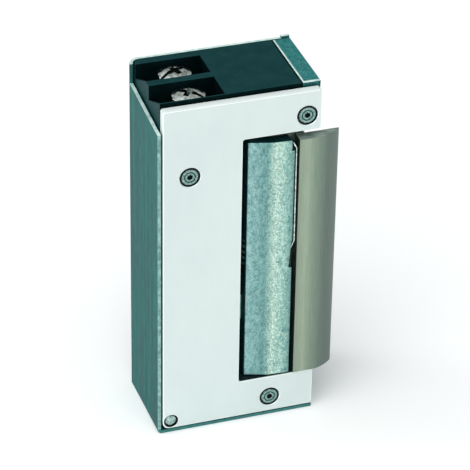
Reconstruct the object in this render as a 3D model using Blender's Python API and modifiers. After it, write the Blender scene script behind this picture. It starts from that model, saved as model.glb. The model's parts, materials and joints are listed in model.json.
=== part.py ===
"""Electric door strike: sheet case, cast frame, swinging keeper, lever, armature and coil.

Everything is in metres with +Z up. Pieces are laid out from the front, left, bottom corner of
the body, and one empty carries them so that the origin is the centre of the body's bottom face.
The front is -Y, the door's latch enters from +X behind the lip.
"""

import math

import bmesh
import bpy
from mathutils import Matrix, Vector

MM = 0.001

# Overall sizes of the body
BODY_W = 28.75 * MM
BODY_H = 66.0 * MM
BODY_D = 18.45 * MM

# Clearances
GAP = 0.3 * MM
FIT = 0.25 * MM

# Bent sheet case
SHEET = 0.6 * MM
CASE_FRONT = 0.2 * MM
CASE_RADIUS = 2.1 * MM
CASE_BEND = 0.8 * MM
WALL_DROP = 3.7 * MM
WALL_SLOPE = 1.4 * MM
TAB_WIDE = 1.2 * MM
TAB_PROUD = 0.35 * MM

# Cover plate
PLATE_T = 1.5 * MM
PLATE_TOP_STEP = 0.7 * MM
PLATE_RADIUS = 0.5 * MM
PLATE_CORNER_RADIUS = 1.2 * MM
PLATE_EDGE = 0.2 * MM
NOTCH_W = 13.7 * MM
NOTCH_BOTTOM = 8.3 * MM
NOTCH_TOP_STEP = 8.2 * MM
NOTCH_RADIUS = 0.4 * MM

# Cover screws and the corner rivet
SCREW_HEAD_R = 1.6 * MM
SCREW_SHANK_R = 0.85 * MM
SCREW_HEAD_DEEP = 1.0 * MM
SCREW_LONG = 6.1 * MM
SCREW_SINK = 0.1 * MM
SOCKET_R = 0.6 * MM
SOCKET_DEEP = 0.7 * MM
RIVET_R = 1.1 * MM
RIVET_SHANK_R = 0.8 * MM
RIVET_INSET = 1.5 * MM

# Cast frame
FRAME_WALL = 1.5 * MM
LUG_W = 2.8 * MM
WEB_T = 1.0 * MM
BOSS_R = 2.2 * MM
BOSS_DEEP = 5.2 * MM
FACE_HOLE_R = 1.65 * MM
FACE_HOLE_Z = 4.0 * MM

# Keeper
KEEPER_GAP = 1.1 * MM
KEEPER_W = 8.0 * MM
KEEPER_FACET = 4.0 * MM
KEEPER_SLANT = 1.2 * MM
KEEPER_PROUD = 0.3 * MM
KEEPER_BACK = 1.8 * MM
KEEPER_BOTTOM_GAP = 0.4 * MM
KEEPER_TOP_GAP = 1.4 * MM
HUB_R = 2.0 * MM
PIN_R = 0.9 * MM
PIN_INSET = 1.6 * MM
PIN_DEEP = 3.6 * MM
TAIL_LONG = 5.3 * MM
TAIL_HIGH = 5.0 * MM
TAIL_FRONT = 2.6 * MM
TAIL_T = 1.6 * MM
SPRING_ABOVE_TAIL = 4.2 * MM
SPRING_GAP_HIGH = 8.0 * MM
SPRING_SKIN = 1.6 * MM

# Lip on the keeper
SLIT = 0.7 * MM
LIP_REACH = 3.8 * MM
LIP_CROWN = 0.5 * MM
LIP_TIP = 1.55 * MM
LIP_INNER = 1.75 * MM
LEG_T = 1.8 * MM
LEG_LONG = 5.8 * MM
LIP_SCREW_LOW = 11.3 * MM
LIP_SCREW_APART = 25.0 * MM
LIP_SCREW_HEAD_R = 1.45 * MM
LIP_SCREW_HEAD_T = 0.7 * MM
LIP_SCREW_R = 0.8 * MM
LIP_SLOT_TRAVEL = 0.8 * MM
LIP_SINK = 0.9 * MM
WIRE_R = 0.2 * MM

# Locking lever
LEVER_T = 1.4 * MM
LEVER_W = 4.6 * MM
LEVER_SIDE_GAP = 2.5 * MM
LEVER_PIVOT_Z = 6.5 * MM
LEVER_HUB_R = 1.6 * MM
LEVER_PIN_R = 0.7 * MM
FINGER_MARGIN = 0.5 * MM
WINDOW_DROP = 1.3 * MM
WINDOW_RISE = 0.7 * MM
WINDOW_DEEP = 10.4 * MM

# Armature with its catch
HINGE_X = 2.0 * MM
KNUCKLE_R = 1.1 * MM
ARM_PIN_R = 0.5 * MM
ARM_T = 1.2 * MM
ARM_LONG = 9.6 * MM
LEVER_TOP_GAP = 3.0 * MM
CATCH_T = 1.0 * MM
CATCH_W = 2.4 * MM
CATCH_DROP = 13.0 * MM
CATCH_TAB_HIGH = 2.6 * MM
CATCH_TAB_LONG = 0.8 * MM
CATCH_FLANGE = 4.7 * MM

# Coil
COIL_GAP = 1.0 * MM
COIL_HIGH = 10.1 * MM
CORE_R = 2.0 * MM
SPIGOT_R = 1.2 * MM
TUBE_T = 0.45 * MM
FLANGE_R = 4.6 * MM
FLANGE_T = 0.8 * MM
WINDING_R = 4.2 * MM
YOKE_T = 1.2 * MM
YOKE_W = 10.0 * MM
EAR_T = 1.2 * MM
LEAD_R = 0.25 * MM

# Terminal block
BLOCK_DEEP = 10.0 * MM
WELL_LEFT = 1.3 * MM
WELL_LONG = 11.0 * MM
WELL_WIDE = 6.1 * MM
WELL_DEEP = 5.5 * MM
WELL_FRONT = 2.1 * MM
WELL_RIB = 1.7 * MM
WELL_RAMP = 2.7 * MM
TERMINAL_X = 6.9 * MM
HEAD_CLEAR = 0.15 * MM
HEAD_R = WELL_WIDE / 2 - HEAD_CLEAR
HEAD_T = 2.1 * MM
HEAD_EDGE = 0.6 * MM
HEAD_BELOW_TOP = 0.3 * MM
TERM_SHANK_R = 1.3 * MM
TERM_SHANK_LONG = 5.0 * MM
CLAMP_T = 0.8 * MM
CLAMP_SIZE = 4.8 * MM
CONTACT_T = 1.0 * MM
CONTACT_LONG = 8.4 * MM
COLLAR_R = 2.2 * MM
COLLAR_LONG = 3.6 * MM

# Wire springs
SPRING_WIRE_R = 0.2 * MM
KEEPER_COIL_R = 1.45 * MM
LEVER_COIL_R = 1.3 * MM
ARM_COIL_R = 1.0 * MM

# Places that several pieces share
INNER = SHEET + GAP
FRONT = PLATE_T + GAP
BACK = BODY_D - INNER
NOTCH_X = BODY_W - NOTCH_W
NOTCH_TOP = BODY_H - NOTCH_TOP_STEP
LUG_X = BODY_W - LUG_W
WEB_X = NOTCH_X - 0.4 * MM - WEB_T
MID_Y = (FRONT + BACK) / 2
KEEPER_X = NOTCH_X + KEEPER_GAP
KEEPER_END = KEEPER_X + KEEPER_W
KEEPER_Z = (NOTCH_BOTTOM + KEEPER_BOTTOM_GAP, NOTCH_TOP - KEEPER_TOP_GAP)
PIN_X = KEEPER_X + PIN_INSET
LIP_X = KEEPER_END + SLIT
LIP_END = BODY_W + LIP_REACH
LEG_BACK = KEEPER_BACK + GAP + LEG_T
LEG_X = LIP_X + 1.6 * MM - LEG_LONG
LIP_SCREW_X = KEEPER_END - 1.7 * MM
BLOCK_Z = BODY_H - BLOCK_DEEP
SHELF_TOP = NOTCH_TOP + FRAME_WALL
COVER_BOSS_Z = BLOCK_Z - 3.9 * MM
MID_SHELF = (COVER_BOSS_Z - BOSS_R, COVER_BOSS_Z - BOSS_R + FRAME_WALL)
YOKE_TOP = MID_SHELF[0] - GAP
CORE_Z = YOKE_TOP - YOKE_T - GAP - COIL_HIGH - 0.4 * MM
HINGE_Z = CORE_Z - COIL_GAP - ARM_T / 2
ARM_TOP = HINGE_Z + ARM_T / 2
LEVER_TOP = HINGE_Z - LEVER_TOP_GAP
TAIL_Z = LEVER_TOP - 13.0 * MM
LEVER_Y = TAIL_FRONT + TAIL_T + GAP
LEVER_X = INNER + LEVER_SIDE_GAP
PIVOT_Y = LEVER_Y + LEVER_T / 2
CATCH_Y = LEVER_Y + LEVER_T + GAP
ARM_SPRING_X = HINGE_X + ARM_LONG - 0.6 * MM
KEEPER_SPRING_Z = TAIL_Z + TAIL_HIGH + SPRING_ABOVE_TAIL
COIL_X = INNER + 2.15 * MM + FLANGE_R
WELL_Z = BODY_H - WELL_DEEP
TERMINAL_Y = {
    "front": WELL_FRONT + WELL_WIDE / 2,
    "rear": WELL_FRONT + WELL_WIDE * 1.5 + WELL_RIB,
}
COVER_SCREWS = {
    "upper": (BODY_W - 2.5 * MM, NOTCH_TOP + 2.85 * MM),
    "left": (5.65 * MM, COVER_BOSS_Z),
    "lower": (BODY_W - 8.0 * MM, 3.9 * MM),
}

for old in list(bpy.data.objects):
    bpy.data.objects.remove(old)

parts = bpy.data.collections.new("electric_door_strike")
cutters = bpy.data.collections.new("strike_cutters")
bpy.context.scene.collection.children.link(parts)
bpy.context.scene.collection.children.link(cutters)
cutters.hide_render = True

root = bpy.data.objects.new("body_corner", None)
root.location = (-BODY_W / 2, -BODY_D / 2, 0)
parts.objects.link(root)

# Turns that lay a shape made about +Z along another axis
ALONG = {
    "x": Matrix.Rotation(math.pi / 2, 4, "Y"),
    "y": Matrix.Rotation(-math.pi / 2, 4, "X"),
    "z": Matrix.Identity(4),
}


def material(name, colour, roughness, metallic):
    """A plain Principled material."""
    mat = bpy.data.materials.new(name)
    mat.use_nodes = True
    shader = mat.node_tree.nodes["Principled BSDF"]
    shader.inputs["Base Color"].default_value = (*colour, 1)
    shader.inputs["Roughness"].default_value = roughness
    shader.inputs["Metallic"].default_value = metallic
    mat.diffuse_color = (*colour, 1)
    return mat


def mesh_object(name, bm, mat=None):
    """Wraps a bmesh in an object: a part when it has a material, otherwise a hidden tool."""
    mesh = bpy.data.meshes.new(name)
    bmesh.ops.recalc_face_normals(bm, faces=bm.faces)
    bm.to_mesh(mesh)
    bm.free()
    obj = bpy.data.objects.new(name, mesh)
    obj.parent = root
    if mat is None:
        cutters.objects.link(obj)
        obj.hide_render = True
        obj.display_type = "WIRE"
    else:
        parts.objects.link(obj)
        mesh.materials.append(mat)
    return obj


def box_mesh(low, high):
    """A box between two corners, its sides exactly on the given planes."""
    bm = bmesh.new()
    bmesh.ops.create_cube(bm, size=1)
    for vert in bm.verts:
        vert.co = [high[i] if vert.co[i] > 0 else low[i] for i in range(3)]
    return bm


def box(name, low, high, mat=None):
    """A box as an object."""
    return mesh_object(name, box_mesh(low, high), mat)


def rod(name, radius, start, length, axis, mat=None, top=None, sides=32):
    """A cylinder, or a cone when its far radius is given, from a start point along an axis."""
    bm = bmesh.new()
    far = radius if top is None else top
    bmesh.ops.create_cone(bm, cap_ends=True, segments=sides, radius1=radius, radius2=far, depth=length)
    bmesh.ops.translate(bm, vec=(0, 0, length / 2), verts=bm.verts)
    bmesh.ops.transform(bm, matrix=Matrix.Translation(start) @ ALONG[axis], verts=bm.verts)
    obj = mesh_object(name, bm, mat)
    if mat is not None:
        smooth(obj)
    return obj


def smooth(obj):
    """Shades round faces smooth and keeps the edges crisp."""
    obj.data.shade_smooth()
    obj.data.set_sharp_from_angle(angle=math.radians(35))


def curve_to_mesh(name, curve, mat, place):
    """Turns a curve into a welded mesh object, with the curve's place moved into the mesh."""
    holder = bpy.data.objects.new(name + "_outline", curve)
    parts.objects.link(holder)
    view = bpy.context.evaluated_depsgraph_get()
    mesh = bpy.data.meshes.new_from_object(holder.evaluated_get(view))
    bm = bmesh.new()
    bm.from_mesh(mesh)
    bmesh.ops.remove_doubles(bm, verts=bm.verts, dist=1e-6)
    bmesh.ops.transform(bm, matrix=place @ holder.matrix_world, verts=bm.verts)
    bpy.data.objects.remove(holder)
    bpy.data.meshes.remove(mesh)
    return mesh_object(name, bm, mat)


def prism(name, outline, axis, low, high, mat=None):
    """A flat outline filled and extruded: (x, y) along z, (x, z) along y, or (y, z) along x."""
    curve = bpy.data.curves.new(name, "CURVE")
    curve.dimensions = "2D"
    curve.fill_mode = "BOTH"
    curve.extrude = (high - low) / 2
    spline = curve.splines.new("POLY")
    spline.points.add(len(outline) - 1)
    for point, (a, b) in zip(spline.points, outline):
        point.co = (a, b, 0, 1)
    spline.use_cyclic_u = True
    middle = (low + high) / 2
    turns = {
        "z": Matrix(((1, 0, 0, 0), (0, 1, 0, 0), (0, 0, 1, middle), (0, 0, 0, 1))),
        "y": Matrix(((1, 0, 0, 0), (0, 0, 1, middle), (0, 1, 0, 0), (0, 0, 0, 1))),
        "x": Matrix(((0, 0, 1, middle), (1, 0, 0, 0), (0, 1, 0, 0), (0, 0, 0, 1))),
    }
    return curve_to_mesh(name, curve, mat, turns[axis])


def arc(centre, radius, start, end, steps):
    """Points on an arc, in degrees, both ends included."""
    angles = [math.radians(start + (end - start) * i / steps) for i in range(steps + 1)]
    return [(centre[0] + radius * math.cos(a), centre[1] + radius * math.sin(a)) for a in angles]


def rounded(corners, radii, steps=5):
    """A closed outline whose corners are rounded, each by its own radius."""
    points = []
    count = len(corners)
    for i, radius in enumerate(radii):
        here = Vector(corners[i])
        before = (Vector(corners[i - 1]) - here).normalized()
        after = (Vector(corners[(i + 1) % count]) - here).normalized()
        half = math.acos(max(-1, min(1, before.dot(after)))) / 2
        if radius == 0:
            points.append(tuple(here))
            continue
        reach = radius / math.tan(half)
        centre = here + (before + after).normalized() * (radius / math.sin(half))
        first = here + before * reach - centre
        last = here + after * reach - centre
        sweep = first.angle_signed(last)
        for step in range(steps + 1):
            turn = Matrix.Rotation(-sweep * step / steps, 2)
            points.append(tuple(centre + turn @ first))
    return points


def stadium(centre, radius, travel):
    """The outline of a slot with round ends, lengthened both ways along its first axis."""
    right = arc((centre[0] + travel, centre[1]), radius, -90, 90, 10)
    left = arc((centre[0] - travel, centre[1]), radius, 90, 270, 10)
    return right + left


def turned(name, profile, place, mat, closed=False, steps=32):
    """A profile of (radius, height) pairs, top to bottom, turned about its own Z."""
    bm = bmesh.new()
    rim = [bm.verts.new((radius, 0, height)) for radius, height in profile]
    for first, second in zip(rim, rim[1:]):
        bm.edges.new((first, second))
    if closed:
        bm.edges.new((rim[-1], rim[0]))
    mesh = bpy.data.meshes.new(name)
    bm.to_mesh(mesh)
    bm.free()
    obj = bpy.data.objects.new(name, mesh)
    screw = obj.modifiers.new("turn", "SCREW")
    screw.steps = steps
    screw.render_steps = steps
    screw.use_merge_vertices = True
    screw.merge_threshold = 1e-6
    parts.objects.link(obj)
    obj.parent = root
    obj.matrix_local = place
    mesh.materials.append(mat)
    smooth(obj)
    return obj


def coil(name, place, radius, height, turns, wire, mat, ends=(), starts=(), per_turn=12):
    """A wire spring wound about its own Z, with straight legs before and after the winding."""
    steps = round(turns * per_turn)
    points = list(starts)
    for i in range(steps + 1):
        angle = 2 * math.pi * i / per_turn
        points.append((radius * math.cos(angle), radius * math.sin(angle), height * i / steps))
    points.extend(ends)
    return wire_piece(name, points, wire, mat, place)


def wire_piece(name, points, radius, mat, place=None):
    """A round wire through the given points."""
    curve = bpy.data.curves.new(name, "CURVE")
    curve.dimensions = "3D"
    curve.bevel_depth = radius
    curve.bevel_resolution = 2
    curve.use_fill_caps = True
    spline = curve.splines.new("POLY")
    spline.points.add(len(points) - 1)
    for point, spot in zip(spline.points, points):
        point.co = (*spot, 1)
    obj = curve_to_mesh(name, curve, mat, place or Matrix.Identity(4))
    smooth(obj)
    return obj


def combine(obj, tool, operation):
    """Adds a Boolean modifier that uses a hidden tool."""
    step = obj.modifiers.new(tool.name, "BOOLEAN")
    step.operation = operation
    step.object = tool


def cut(obj, *tools):
    """Takes each tool away from the object."""
    for tool in tools:
        combine(obj, tool, "DIFFERENCE")


def join(obj, *tools):
    """Adds each tool to the object."""
    for tool in tools:
        combine(obj, tool, "UNION")


def bevel_edges(bm, chosen, width, segments):
    """Rounds the chosen edges of a bmesh."""
    bmesh.ops.bevel(
        bm, geom=chosen, offset=width, segments=segments, affect="EDGES", profile=0.5, material=-1
    )


def edges_along(bm, axis, spot):
    """The edges that run along an axis through a spot given on the two other axes."""
    others = [i for i in range(3) if i != axis]
    found = []
    for edge in bm.edges:
        ends = [v.co for v in edge.verts]
        level = all(abs(co[i] - s) < 1e-7 for co in ends for i, s in zip(others, spot))
        if level:
            found.append(edge)
    return found


def on_pivot(obj, pivot):
    """Moves the object's origin to its joint axis without moving its shape."""
    pivot = Vector(pivot)
    obj.data.transform(Matrix.Translation(-pivot))
    obj.location = pivot


def axis_empty(name, spot):
    """An empty on a joint axis, for the pieces that turn together."""
    empty = bpy.data.objects.new(name, None)
    empty.location = spot
    empty.parent = root
    parts.objects.link(empty)
    return empty


def hang_on(empty, *objects):
    """Parents pieces to an empty and keeps them where they are."""
    back = Matrix.Translation(-empty.location)
    for obj in objects:
        local = obj.matrix_basis.copy()
        obj.parent = empty
        obj.matrix_local = back @ local


STEEL = material("zinc_plated_sheet", (0.16, 0.33, 0.31), 0.35, 0.9)
SATIN = material("satin_plate", (0.80, 0.84, 0.82), 0.4, 0.3)
ZINC = material("cast_zinc", (0.42, 0.52, 0.50), 0.45, 0.9)
STAINLESS = material("stainless_steel", (0.52, 0.54, 0.46), 0.3, 1.0)
BLACK = material("black_plastic", (0.03, 0.06, 0.06), 0.5, 0.0)
NICKEL = material("nickel_steel", (0.75, 0.76, 0.72), 0.2, 1.0)
DARK = material("dark_steel", (0.25, 0.31, 0.31), 0.35, 1.0)
BRASS = material("brass", (0.78, 0.58, 0.28), 0.3, 1.0)
IRON = material("soft_iron", (0.45, 0.45, 0.44), 0.4, 1.0)
COPPER = material("enamelled_copper", (0.62, 0.26, 0.10), 0.35, 0.8)
NYLON = material("natural_nylon", (0.72, 0.70, 0.62), 0.5, 0.0)


def build_case():
    """Left wall, back wall and bottom flange of one bent sheet, open to the front and right."""
    bm = box_mesh((0, CASE_FRONT, 0), (BODY_W, BODY_D, BODY_H))
    bevel_edges(bm, edges_along(bm, 2, (0, BODY_D)), CASE_RADIUS, 8)
    low = [e for e in bm.edges if all(v.co.z < 1e-7 and v.co.x < 1e-7 for v in e.verts)]
    bevel_edges(bm, low, CASE_BEND, 4)
    shell = mesh_object("case_shell", bm, STEEL)
    room = box_mesh(
        (SHEET, CASE_FRONT - 2 * MM, SHEET), (BODY_W + 2 * MM, BODY_D - SHEET, BODY_H + 2 * MM)
    )
    bevel_edges(room, edges_along(room, 2, (SHEET, BODY_D - SHEET)), CASE_RADIUS - SHEET, 8)
    drop_back = BODY_H - WALL_DROP
    drop = [
        (CASE_FRONT - 2 * MM, drop_back - WALL_SLOPE),
        (BODY_D - CASE_RADIUS, drop_back),
        (BODY_D - CASE_RADIUS, BODY_H + 2 * MM),
        (CASE_FRONT - 2 * MM, BODY_H + 2 * MM),
    ]
    tab = box(
        "case_tab",
        (BODY_W - TAB_WIDE, BODY_D - SHEET, BODY_H - TAB_WIDE),
        (BODY_W + TAB_PROUD, BODY_D, BODY_H + TAB_PROUD),
    )
    cut(shell, mesh_object("cut_case_room", room), prism("cut_case_wall", drop, "x", -MM, 2 * MM))
    join(shell, tab)
    smooth(shell)
    return shell


def build_cover_plate():
    """Front plate with the keeper's notch and the countersunk holes."""
    top = BODY_H - PLATE_TOP_STEP
    corners = [
        (INNER, INNER), (BODY_W, INNER), (BODY_W, NOTCH_BOTTOM), (NOTCH_X, NOTCH_BOTTOM),
        (NOTCH_X, NOTCH_TOP), (BODY_W, NOTCH_TOP), (BODY_W, top), (INNER, top),
    ]
    small = PLATE_RADIUS
    radii = [PLATE_CORNER_RADIUS, small, small, NOTCH_RADIUS, NOTCH_RADIUS, small, small, small]
    plate = prism("cover_plate", rounded(corners, radii), "y", 0, PLATE_T, SATIN)
    bm = bmesh.new()
    bm.from_mesh(plate.data)
    bmesh.ops.dissolve_limit(bm, angle_limit=0.01, verts=bm.verts, edges=bm.edges)
    rims = [e for e in bm.edges if abs(e.verts[0].co.y - e.verts[1].co.y) < 1e-7]
    bevel_edges(bm, rims, PLATE_EDGE, 2)
    bm.to_mesh(plate.data)
    bm.free()
    for name, (x, z) in COVER_SCREWS.items():
        through = SCREW_SHANK_R + GAP
        cut(
            plate,
            rod("cut_plate_hole_" + name, through, (x, -MM, z), PLATE_T + 2 * MM, "y"),
            rod(
                "cut_plate_sink_" + name, SCREW_HEAD_R + FIT + 0.5 * MM, (x, -0.5 * MM, z),
                SCREW_HEAD_DEEP + 0.6 * MM, "y", top=through - 0.1 * MM,
            ),
        )
    hole = RIVET_R + FIT
    rivet_spot = (INNER + RIVET_INSET, -MM, INNER + RIVET_INSET)
    cut(plate, rod("cut_plate_rivet", hole, rivet_spot, PLATE_T + 2 * MM, "y"))
    smooth(plate)
    return plate


def build_cover_screw(name, x, z):
    """Countersunk screw with a hexagon socket, its axis along Y."""
    head = SCREW_SINK
    profile = [
        (0, -head), (SCREW_HEAD_R, -head), (SCREW_HEAD_R, -head - 0.15 * MM),
        (SCREW_SHANK_R, -head - SCREW_HEAD_DEEP), (SCREW_SHANK_R, -SCREW_LONG + 0.3 * MM),
        (SCREW_SHANK_R - 0.3 * MM, -SCREW_LONG), (0, -SCREW_LONG),
    ]
    place = Matrix.Translation((x, 0, z)) @ Matrix.Rotation(math.pi / 2, 4, "X")
    screw = turned("cover_screw_" + name, profile, place, DARK)
    socket = rod(
        "cut_socket_" + name, SOCKET_R, (x, head - MM, z), SOCKET_DEEP + MM, "y", sides=6
    )
    cut(screw, socket)
    return screw


def build_corner_rivet():
    """Shouldered pin that locates the plate's lower left corner."""
    spot = INNER + RIVET_INSET
    profile = [
        (0, -0.15 * MM), (RIVET_R - 0.1 * MM, -0.15 * MM), (RIVET_R, -0.25 * MM),
        (RIVET_R, -PLATE_T), (RIVET_SHANK_R, -PLATE_T), (RIVET_SHANK_R, -SCREW_LONG),
        (0, -SCREW_LONG),
    ]
    place = Matrix.Translation((spot, 0, spot)) @ Matrix.Rotation(math.pi / 2, 4, "X")
    return turned("corner_rivet", profile, place, DARK)


def corner_relief(name, low, high):
    """What the case's rounded back left corner takes from the pieces that fill it."""
    radius = CASE_RADIUS - SHEET - GAP
    outline = [(INNER - MM, BACK - radius)]
    outline += arc((INNER + radius, BACK - radius), radius, 180, 90, 6)
    outline += [(INNER + radius, BACK + MM), (INNER - MM, BACK + MM)]
    return prism(name, outline, "z", low, high)


def build_frame():
    """Cast frame: back and base plates, lugs, shelves, partition and screw bosses."""
    right = BODY_W
    frame = box("strike_frame", (WEB_X, BACK - FRAME_WALL, INNER), (right, BACK, SHELF_TOP), ZINC)
    upper_x, upper_z = COVER_SCREWS["upper"]
    left_x, left_z = COVER_SCREWS["left"]
    lower_x, lower_z = COVER_SCREWS["lower"]
    deep = FRONT + BOSS_DEEP
    top = upper_z + BOSS_R + 0.3 * MM
    spot = INNER + RIVET_INSET
    base = INNER + FRAME_WALL
    ear_x = LEVER_X - 0.6 * MM
    peg_z = TAIL_Z + 6.8 * MM
    blocks = {
        "base": ((INNER, FRONT, INNER), (right, BACK, base)),
        "lower_lug": ((LUG_X, FRONT, INNER), (right, BACK, NOTCH_BOTTOM)),
        "upper_lug": ((LUG_X, FRONT, NOTCH_TOP), (right, BACK, BODY_H)),
        "lower_shelf": ((WEB_X, FRONT, NOTCH_BOTTOM - FRAME_WALL), (right, BACK, NOTCH_BOTTOM)),
        "upper_shelf": ((WEB_X, FRONT, NOTCH_TOP), (right, BACK, SHELF_TOP)),
        "web": ((WEB_X, FRONT, INNER), (WEB_X + WEB_T, BACK, SHELF_TOP)),
        "mid_shelf": ((INNER, FRONT, MID_SHELF[0]), (WEB_X + WEB_T, BACK, MID_SHELF[1])),
        "upper_boss": ((upper_x - BOSS_R - 0.4 * MM, FRONT, NOTCH_TOP), (right, deep, top)),
        "lower_boss": ((lower_x - BOSS_R, FRONT, INNER), (lower_x + BOSS_R, deep, NOTCH_BOTTOM)),
        "left_boss": (
            (left_x - BOSS_R, FRONT, left_z - BOSS_R), (left_x + BOSS_R, deep, left_z + BOSS_R)
        ),
        "corner_boss": ((INNER, FRONT, INNER), (spot + 2 * MM, deep, spot + 2.2 * MM)),
        "lever_ear": (
            (INNER + 0.3 * MM, PIVOT_Y - 1.6 * MM, INNER),
            (ear_x, PIVOT_Y + 1.6 * MM, LEVER_PIVOT_Z + 2 * MM),
        ),
        "spring_peg": (
            (ARM_SPRING_X - ARM_COIL_R, MID_Y - MM, peg_z), (WEB_X + WEB_T, MID_Y + MM, peg_z + MM)
        ),
    }
    for name, (low, high) in blocks.items():
        bm = box_mesh(low, high)
        if low[0] == INNER and high[1] == BACK:
            bevel_edges(bm, edges_along(bm, 2, (INNER, BACK)), CASE_RADIUS - SHEET - GAP, 6)
        join(frame, mesh_object("add_frame_" + name, bm))
    for name, (x, z) in COVER_SCREWS.items():
        hole = rod("cut_frame_" + name, SCREW_SHANK_R + FIT, (x, FRONT - MM, z), SCREW_LONG, "y")
        cut(frame, hole)
    cut(
        frame,
        rod("cut_frame_rivet", RIVET_SHANK_R + FIT, (spot, FRONT - MM, spot), SCREW_LONG, "y"),
        rod(
            "cut_frame_pin", PIN_R + FIT, (PIN_X, PIN_DEEP, NOTCH_BOTTOM - 1.1 * MM),
            BODY_H, "z",
        ),
        rod(
            "cut_frame_lever_pin", LEVER_PIN_R + FIT, (INNER + 0.6 * MM, PIVOT_Y, LEVER_PIVOT_Z),
            WEB_X + WEB_T, "x",
        ),
        box(
            "cut_frame_window",
            (WEB_X - 0.2 * MM, FRONT - MM, TAIL_Z - 0.5 * MM - WINDOW_DROP),
            (WEB_X + WEB_T + 0.2 * MM, FRONT + WINDOW_DEEP, TAIL_Z + TAIL_HIGH + 0.5 * MM + WINDOW_RISE),
        ),
        rod("cut_frame_face_low", FACE_HOLE_R, (LUG_X - 2 * MM, MID_Y, FACE_HOLE_Z), 8 * MM, "x"),
        rod(
            "cut_frame_face_high", FACE_HOLE_R, (LUG_X - 2 * MM, MID_Y, BODY_H - FACE_HOLE_Z),
            8 * MM, "x",
        ),
    )
    for side, y in (("front", FRONT + 1.1 * MM), ("rear", BACK - 1.7 * MM)):
        spot = (WEB_X - 2.4 * MM, y, MID_SHELF[0] - MM)
        cut(frame, rod("cut_frame_lead_" + side, 0.7 * MM, spot, 4 * MM, "z", sides=16))
    smooth(frame)
    return frame


def build_keeper():
    """Keeper casting: two front facets, the hub round its pin, and the tail that meets the lever."""
    low, high = KEEPER_Z
    outline = [
        (KEEPER_X, KEEPER_SLANT), (KEEPER_X + KEEPER_FACET, 0), (KEEPER_END, -KEEPER_PROUD),
        (KEEPER_END, KEEPER_BACK), (PIN_X + HUB_R + 0.6 * MM, KEEPER_BACK),
    ]
    outline += arc((PIN_X, PIN_DEEP), HUB_R, -20, 180, 14)
    keeper = prism("keeper_body", outline, "z", low, high, ZINC)
    tail_x = PIN_X - TAIL_LONG
    tail = box(
        "add_keeper_tail", (tail_x, TAIL_FRONT, TAIL_Z),
        (PIN_X - HUB_R + 0.6 * MM, TAIL_FRONT + TAIL_T, TAIL_Z + TAIL_HIGH),
    )
    join(keeper, tail)
    spring_low = KEEPER_SPRING_Z
    cut(
        keeper,
        rod("cut_keeper_pin", PIN_R + FIT, (PIN_X, PIN_DEEP, 0), BODY_H, "z"),
        box(
            "cut_keeper_spring", (PIN_X - 2.5 * MM, SPRING_SKIN, spring_low),
            (PIN_X + 2.4 * MM, PIN_DEEP + 3 * MM, spring_low + SPRING_GAP_HIGH),
        ),
        box(
            "cut_keeper_notch_top", (KEEPER_END - 0.45 * MM, -MM, high - 2 * MM),
            (KEEPER_END + MM, 4 * MM, high + MM),
        ),
        box(
            "cut_keeper_notch_mid", (KEEPER_END - 0.45 * MM, -MM, low + 22.3 * MM),
            (KEEPER_END + MM, 4 * MM, low + 27.8 * MM),
        ),
    )
    for i in range(2):
        z = low + LIP_SCREW_LOW + LIP_SCREW_APART * i
        spot = (LIP_SCREW_X, 0.35 * MM, z)
        cut(keeper, rod(f"cut_keeper_screw_{i}", LIP_SCREW_R + FIT, spot, 4 * MM, "y", sides=20))
    smooth(keeper)
    return keeper


def build_lip():
    """Stainless lip: a crowned front, a flat inner face and a leg clamped behind the keeper."""
    low, high = KEEPER_Z
    flat = LIP_X + 3.6 * MM
    crown = [(LIP_X, -LIP_CROWN)]
    steps = 8
    for i in range(steps + 1):
        t = i / steps
        x = flat + (LIP_END - flat) * t
        crown.append((x, -LIP_CROWN + 0.1 * MM + (LIP_TIP + LIP_CROWN - 0.1 * MM) * t * t))
    behind = KEEPER_BACK + GAP
    outline = crown + [
        (LIP_END, LIP_INNER), (LIP_X + 1.6 * MM, LIP_INNER), (LIP_X + 1.6 * MM, LEG_BACK),
        (LEG_X, LEG_BACK), (LEG_X, behind), (LIP_X, behind),
    ]
    lip = prism("keeper_lip", outline, "z", low - 0.1 * MM, high, STAINLESS)
    for i in range(2):
        z = low + LIP_SCREW_LOW + LIP_SCREW_APART * i
        slot = stadium((LIP_SCREW_X, z), LIP_SCREW_R + FIT, LIP_SLOT_TRAVEL)
        sink = stadium((LIP_SCREW_X, z), LIP_SCREW_HEAD_R + GAP, LIP_SLOT_TRAVEL)
        cut(
            lip,
            prism(f"cut_lip_slot_{i}", slot, "y", KEEPER_BACK, LEG_BACK + MM),
            prism(f"cut_lip_sink_{i}", sink, "y", LEG_BACK - LIP_SINK, LEG_BACK + MM),
        )
    smooth(lip)
    return lip


def build_lip_screw(name, z):
    """Low head screw that clamps the lip, its axis along Y with the head at the back."""
    seat = LEG_BACK - LIP_SINK + 0.05 * MM
    head = seat + LIP_SCREW_HEAD_T
    tip = 0.65 * MM
    profile = [
        (0, head), (LIP_SCREW_HEAD_R - 0.15 * MM, head), (LIP_SCREW_HEAD_R, head - 0.15 * MM),
        (LIP_SCREW_HEAD_R, seat), (LIP_SCREW_R, seat), (LIP_SCREW_R, tip), (0, tip),
    ]
    place = Matrix.Translation((LIP_SCREW_X, 0, z)) @ Matrix.Rotation(-math.pi / 2, 4, "X")
    screw = turned("lip_screw_" + name, profile, place, DARK, steps=24)
    socket = rod(
        "cut_lip_socket_" + name, 0.7 * MM, (LIP_SCREW_X, head - 0.45 * MM, z), MM, "y", sides=6
    )
    cut(screw, socket)
    return screw


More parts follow.
